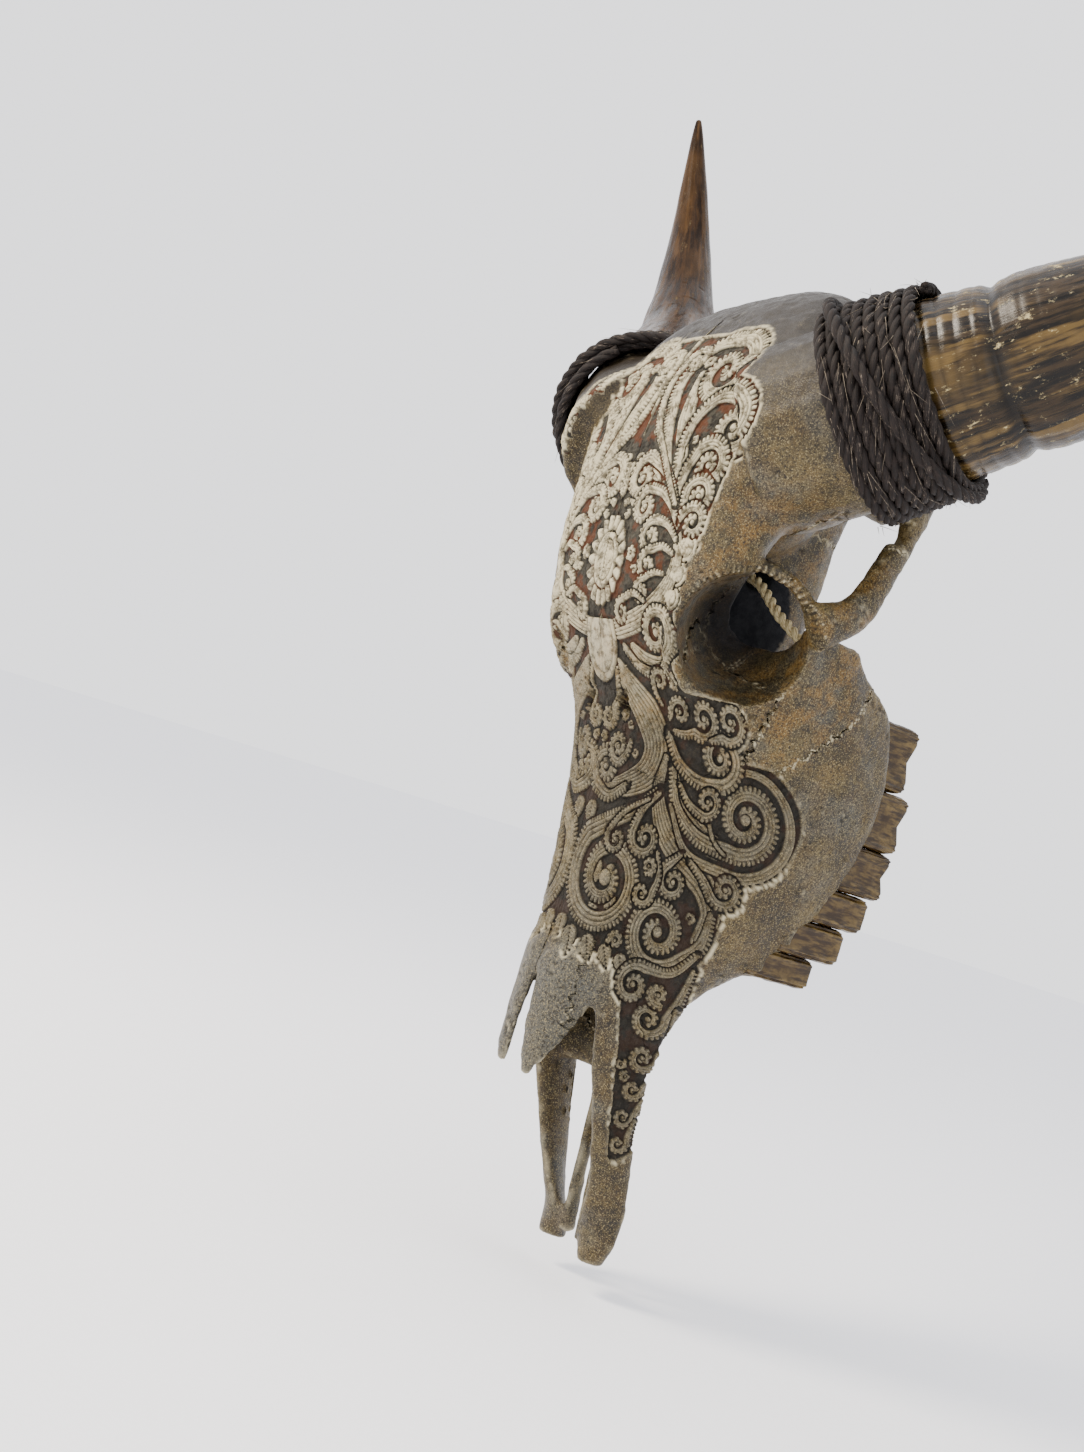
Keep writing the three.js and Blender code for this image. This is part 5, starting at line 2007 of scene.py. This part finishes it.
    def turned(self, points: Points) -> tuple[Array, Array, Array]:
        """The direction cell, height cell and radius of points round the line inside the face.

        Args:
            points: Any points.

        Returns:
            Three values for each point.
        """
        angle = np.arctan2(np.abs(points[:, 0]), -(points[:, 1] - self.core_y))
        cell = np.clip((angle / np.pi * self.cells[0]).astype(int), 0, self.cells[0] - 1)
        level = np.clip((points[:, 2] / 540 * self.cells[1]).astype(int), 0, self.cells[1] - 1)
        return cell, level, np.hypot(points[:, 0], points[:, 1] - self.core_y)

    def sheet_places(self, points: Points) -> tuple[Array, Array]:
        """Places on the carver's flat sheet: round the face from the midline, and up.

        Args:
            points: Any points.

        Returns:
            Two values for each point.
        """
        ridge = np.interp(points[:, 2], self.ridge_z, self.ridge_y)
        return np.abs(points[:, 0]) + 0.8 * np.maximum(points[:, 1] - ridge, 0), points[:, 2]

    def skin(self, points: Points) -> Array:
        """1 on the outermost skin of the face and 0 on its inner walls."""
        cell, level, radius = self.turned(points)
        return smooth_step(radius - self.outer[cell, level], -self.skin_depth, -self.skin_depth + 1.2)

    def carved_zone(self, points: Points) -> Array:
        """1 where the carver worked, with a little round it.

        Args:
            points: Any points.

        Returns:
            One value for each point.
        """
        u, v = self.sheet_places(points)
        zone = self.relief.at(u, v, np.maximum(self.relief.ground, self.relief.drawn))
        inside = (v > self.relief.low + 2) & (v < self.relief.high - 2) & (u < self.relief.across - 2)
        outside = points[:, 1] - self.core_y < 0.7 * np.abs(points[:, 0]) - 2
        return zone * self.skin(points) * inside * outside

    def parted(self, whole: Solid, suture: Suture) -> dict[str, Solid]:
        """Cuts the whole skull into its bones along the sutures.

        Args:
            whole: The skull.
            suture: The cutter.

        Returns:
            Each bone by name.
        """
        left, bones = whole, {}
        for region in REGIONS:
            if region.name == "frontal_bone":
                solid = self.union_of(left, suture, region)
            else:
                solid = joined([carved_by(left, cutter, True) for cutter in suture.cutters(region, 0.0)])
            bones.update(self.sides_of(region.name, solid, region.paired, suture))
            for cutter in suture.cutters(region, suture.seam):
                left = carved_by(left, cutter, False)
        bones.update(self.sides_of("temporal_bone", left, True, suture))
        return bones

    def union_of(self, left: Solid, suture: Suture, region: Region) -> Solid:
        """What lies in any of a region's overlapping prisms: all of it less what lies in none.

        Args:
            left: What is left of the skull.
            suture: The cutter.
            region: The region.

        Returns:
            The region's bone.
        """
        outside = left
        for cutter in suture.cutters(region, 0.0):
            outside = carved_by(outside, cutter, False)
        return carved_by(left, outside, False)

    def sides_of(self, name: str, solid: Solid, paired: bool, suture: Suture) -> dict[str, Solid]:
        """Parts a paired bone at the midline, or returns a single bone whole.

        Args:
            name: The bone's name.
            solid: The bone.
            paired: Whether it has two sides.
            suture: The cutter.

        Returns:
            The bone or its two sides by name.
        """
        if not paired:
            return {name: solid}
        half = np.array([[-FAR, -60], [FAR, -60], [FAR, 600], [-FAR, 600]], float)
        gap = suture.seam / 2
        return {
            f"left_{name}": carved_by(solid, suture.prism(half, gap, 2 * FAR, False), True),
            f"right_{name}": carved_by(solid, suture.prism(half, -2 * FAR, -gap, False), True),
        }

    def carve(self, name: str, points: Points, faces: Faces, stands_for: str) -> None:
        """Refines one bone where it is worked, raises its anatomy and cuts the relief into it.

        Args:
            name: The bone's name.
            points: Its points.
            faces: Its triangles.
            stands_for: Its frame node.
        """
        points, faces = self.without_crumbs(points, faces)
        points, faces = refined(points, faces, self.rim_edge, self.at_rim)
        for _ in range(3):
            points, faces = refined(points, faces, self.carve_edge, self.carved_zone)
        u, v = self.sheet_places(points)
        zone = self.carved_zone(points)
        height = self.relief.at(u, v, self.relief.height)
        depth = np.clip(-height / self.relief.deep, 0, 1) * zone
        moved = points + self.outward(points) * (height * zone)[:, None]
        moved, pit, gold, socket = self.anatomy(moved, faces, zone)
        made = make_object(name + "_carved", to_row(moved), faces)
        forward, rise = -moved[:, 1], moved[:, 2]
        put_attributes(
            made, pit=pit, gold=gold, depth=depth, socket=socket,
            carve=zone * (0.16 + 0.84 * smooth_step(rise, 255, 360)),       # pale forehead, dark snout
            edge=self.worn(moved, faces) * (1 - zone),
            smoke=0.95 * smooth_step(rise, 405, 465) * (1 - zone),          # darker towards the top of the poll
            # painted grey-blue sheen on the nose tips
            cool=smooth_step(-rise, -162, -140) * smooth_step(forward, 96, 106))    # grey nose tips
        dress(made, self.bone, Slot.CARVED if name.endswith(CARVED_BONES) else Slot.BONE, stands_for)

    def at_rim(self, points: Points) -> Array:
        """1 near the edge of an eye socket."""
        reach, along, _ = self.orbit_places(points)
        return ((np.abs(reach - self.orbit_radius - 2) < 6) & (np.abs(along) < 14)).astype(float)

    def without_crumbs(self, points: Points, faces: Faces) -> Solid:
        """Keeps the shells of a cut bone that have more than a few hundred faces.

        Args:
            points: The mesh's points.
            faces: Its triangles.

        Returns:
            The bone without its crumbs.
        """
        label = np.arange(len(points))
        edges = edges_of(faces)
        while True:
            low = np.minimum(label[edges[:, 0]], label[edges[:, 1]])
            fresh = label.copy()
            np.minimum.at(fresh, edges[:, 0], low)
            np.minimum.at(fresh, edges[:, 1], low)
            fresh = fresh[fresh]
            if np.array_equal(fresh, label):
                break
            label = fresh
        shell = label[faces[:, 0]]
        size = np.bincount(shell, minlength=len(points))
        faces = faces[size[shell] > 300]
        used, back = np.unique(faces, return_inverse=True)
        return points[used], back.reshape(-1, 3)

    def anatomy(self, points: Points, faces: Faces, zone: Array
                ) -> tuple[Points, Array, Array, Array]:
        """Raises the lumps, pores and rims that bone has of its own.

        Args:
            points: The bone's points.
            faces: Its triangles.
            zone: Where it is carved, and stays as it is.

        Returns:
            Moved points, then how pitted, how golden and how deep in an eye socket each one is; the last is
            painted as shadow.
        """
        normal = point_normals(points, faces)
        lumps = 0.7 * value_noise(points, 24, 1) + 0.4 * value_noise(points, 9, 2)
        grain = 0.16 * value_noise(points, 3.4, 3)
        patches = smooth_step(value_noise(points, 17, 7), -0.1, 0.5)
        pores = smooth_step(value_noise(points, 2.6, 6), 0.45, 0.75) * patches
        plain = 1 - zone
        reach, along, angle = self.orbit_places(points)
        ring = np.exp(-((reach - self.orbit_radius - 1.5) / 2.6) ** 2)
        ring = ring * smooth_step(along, -9, -3) * (1 - smooth_step(along, 12, 16))
        teeth = np.abs(np.sin(angle * 31 + 1.8 * value_noise(points, 9, 9)))
        upper = smooth_step(np.sin(angle), 0.1, 0.55)
        uneven = 0.5 + 0.5 * smooth_step(value_noise(points, 12, 10), -0.4, 0.5)
        rim = ring * (0.5 - 1.2 * uneven * (1 - teeth) * upper)
        rough = (lumps + grain - 0.5 * pores) * smooth_step(points[:, 2], 60, 120)
        height = (rough + rim) * plain + grain * 0.5
        moved = points + normal * height[:, None]
        inside = (reach < self.orbit_radius + 2) & (along < -2)
        # how far inside the eye socket: the material paints it as deep shadow
        deep = np.where(inside, smooth_step(-along, 22, 56), 0.0)
        # pores are real; the socket's share of pit is painted shade inside it
        pit = np.clip(pores * plain * 0.8 + ring * (1 - teeth) * upper * 0.8 + inside * 0.25, 0, 1)
        gold = np.clip(np.exp(-((reach - 52) / 22) ** 2) * 0.55 + inside * 0.35, 0, 1)
        return moved, pit, gold, deep

    def worn(self, points: Points, faces: Faces) -> Array:
        """How much each point stands out from its neighbours, 0 to 1: a worn edge.

        Args:
            points: The mesh's points.
            faces: Its triangles.

        Returns:
            One value for each point.
        """
        edges = edges_of(faces)
        ends = np.concatenate([edges[:, 0], edges[:, 1]])
        others = np.concatenate([edges[:, 1], edges[:, 0]])
        count = np.maximum(np.bincount(ends, minlength=len(points)), 1)[:, None]
        mean = np.stack([np.bincount(ends, points[others, k], len(points)) for k in range(3)], axis=1) / count
        stand = np.einsum("ij,ij->i", points - mean, point_normals(points, faces))
        return smooth_step(stand, 0.12, 0.5)

    def vomer(self) -> None:
        """Makes the thin plate inside the nose."""
        points, faces = remeshed(*self.node_mesh("vomer"), 1.0)
        points = relaxed(points, faces, 3, np.ones(len(points)))
        points = points + point_normals(points, faces) * (0.4 * value_noise(points, 8, 15))[:, None]
        made = make_object("vomer_plate", to_row(points), faces)
        unmarked = ("carve", "depth", "edge", "gold", "cool", "smoke", "socket")
        bare = {name: np.zeros(len(points)) for name in unmarked}
        put_attributes(made, pit=np.full(len(points), 0.6), **bare)
        dress(made, self.bone, Slot.BONE, "vomer")


def main() -> None:
    """Builds the studio and every sub-assembly in order."""
    logging.basicConfig(level=logging.INFO, format="%(message)s", stream=sys.stdout)
    Studio().build()
    HangingCord().build()
    near = PolishedHorn("oiled_black_horn", "#070402", "#2e2212", "#6a542c", flakes=0.8)
    far = PolishedHorn("oiled_taupe_horn", "#160c04", "#2c1c0c", "#47321b", flakes=0.12, gloss=0.05)
    Horn(Side.LEFT, near).build()
    Horn(Side.RIGHT, far).build()
    CheekTeeth().build()
    Skull().build()


if __name__ == "__main__":
    main()
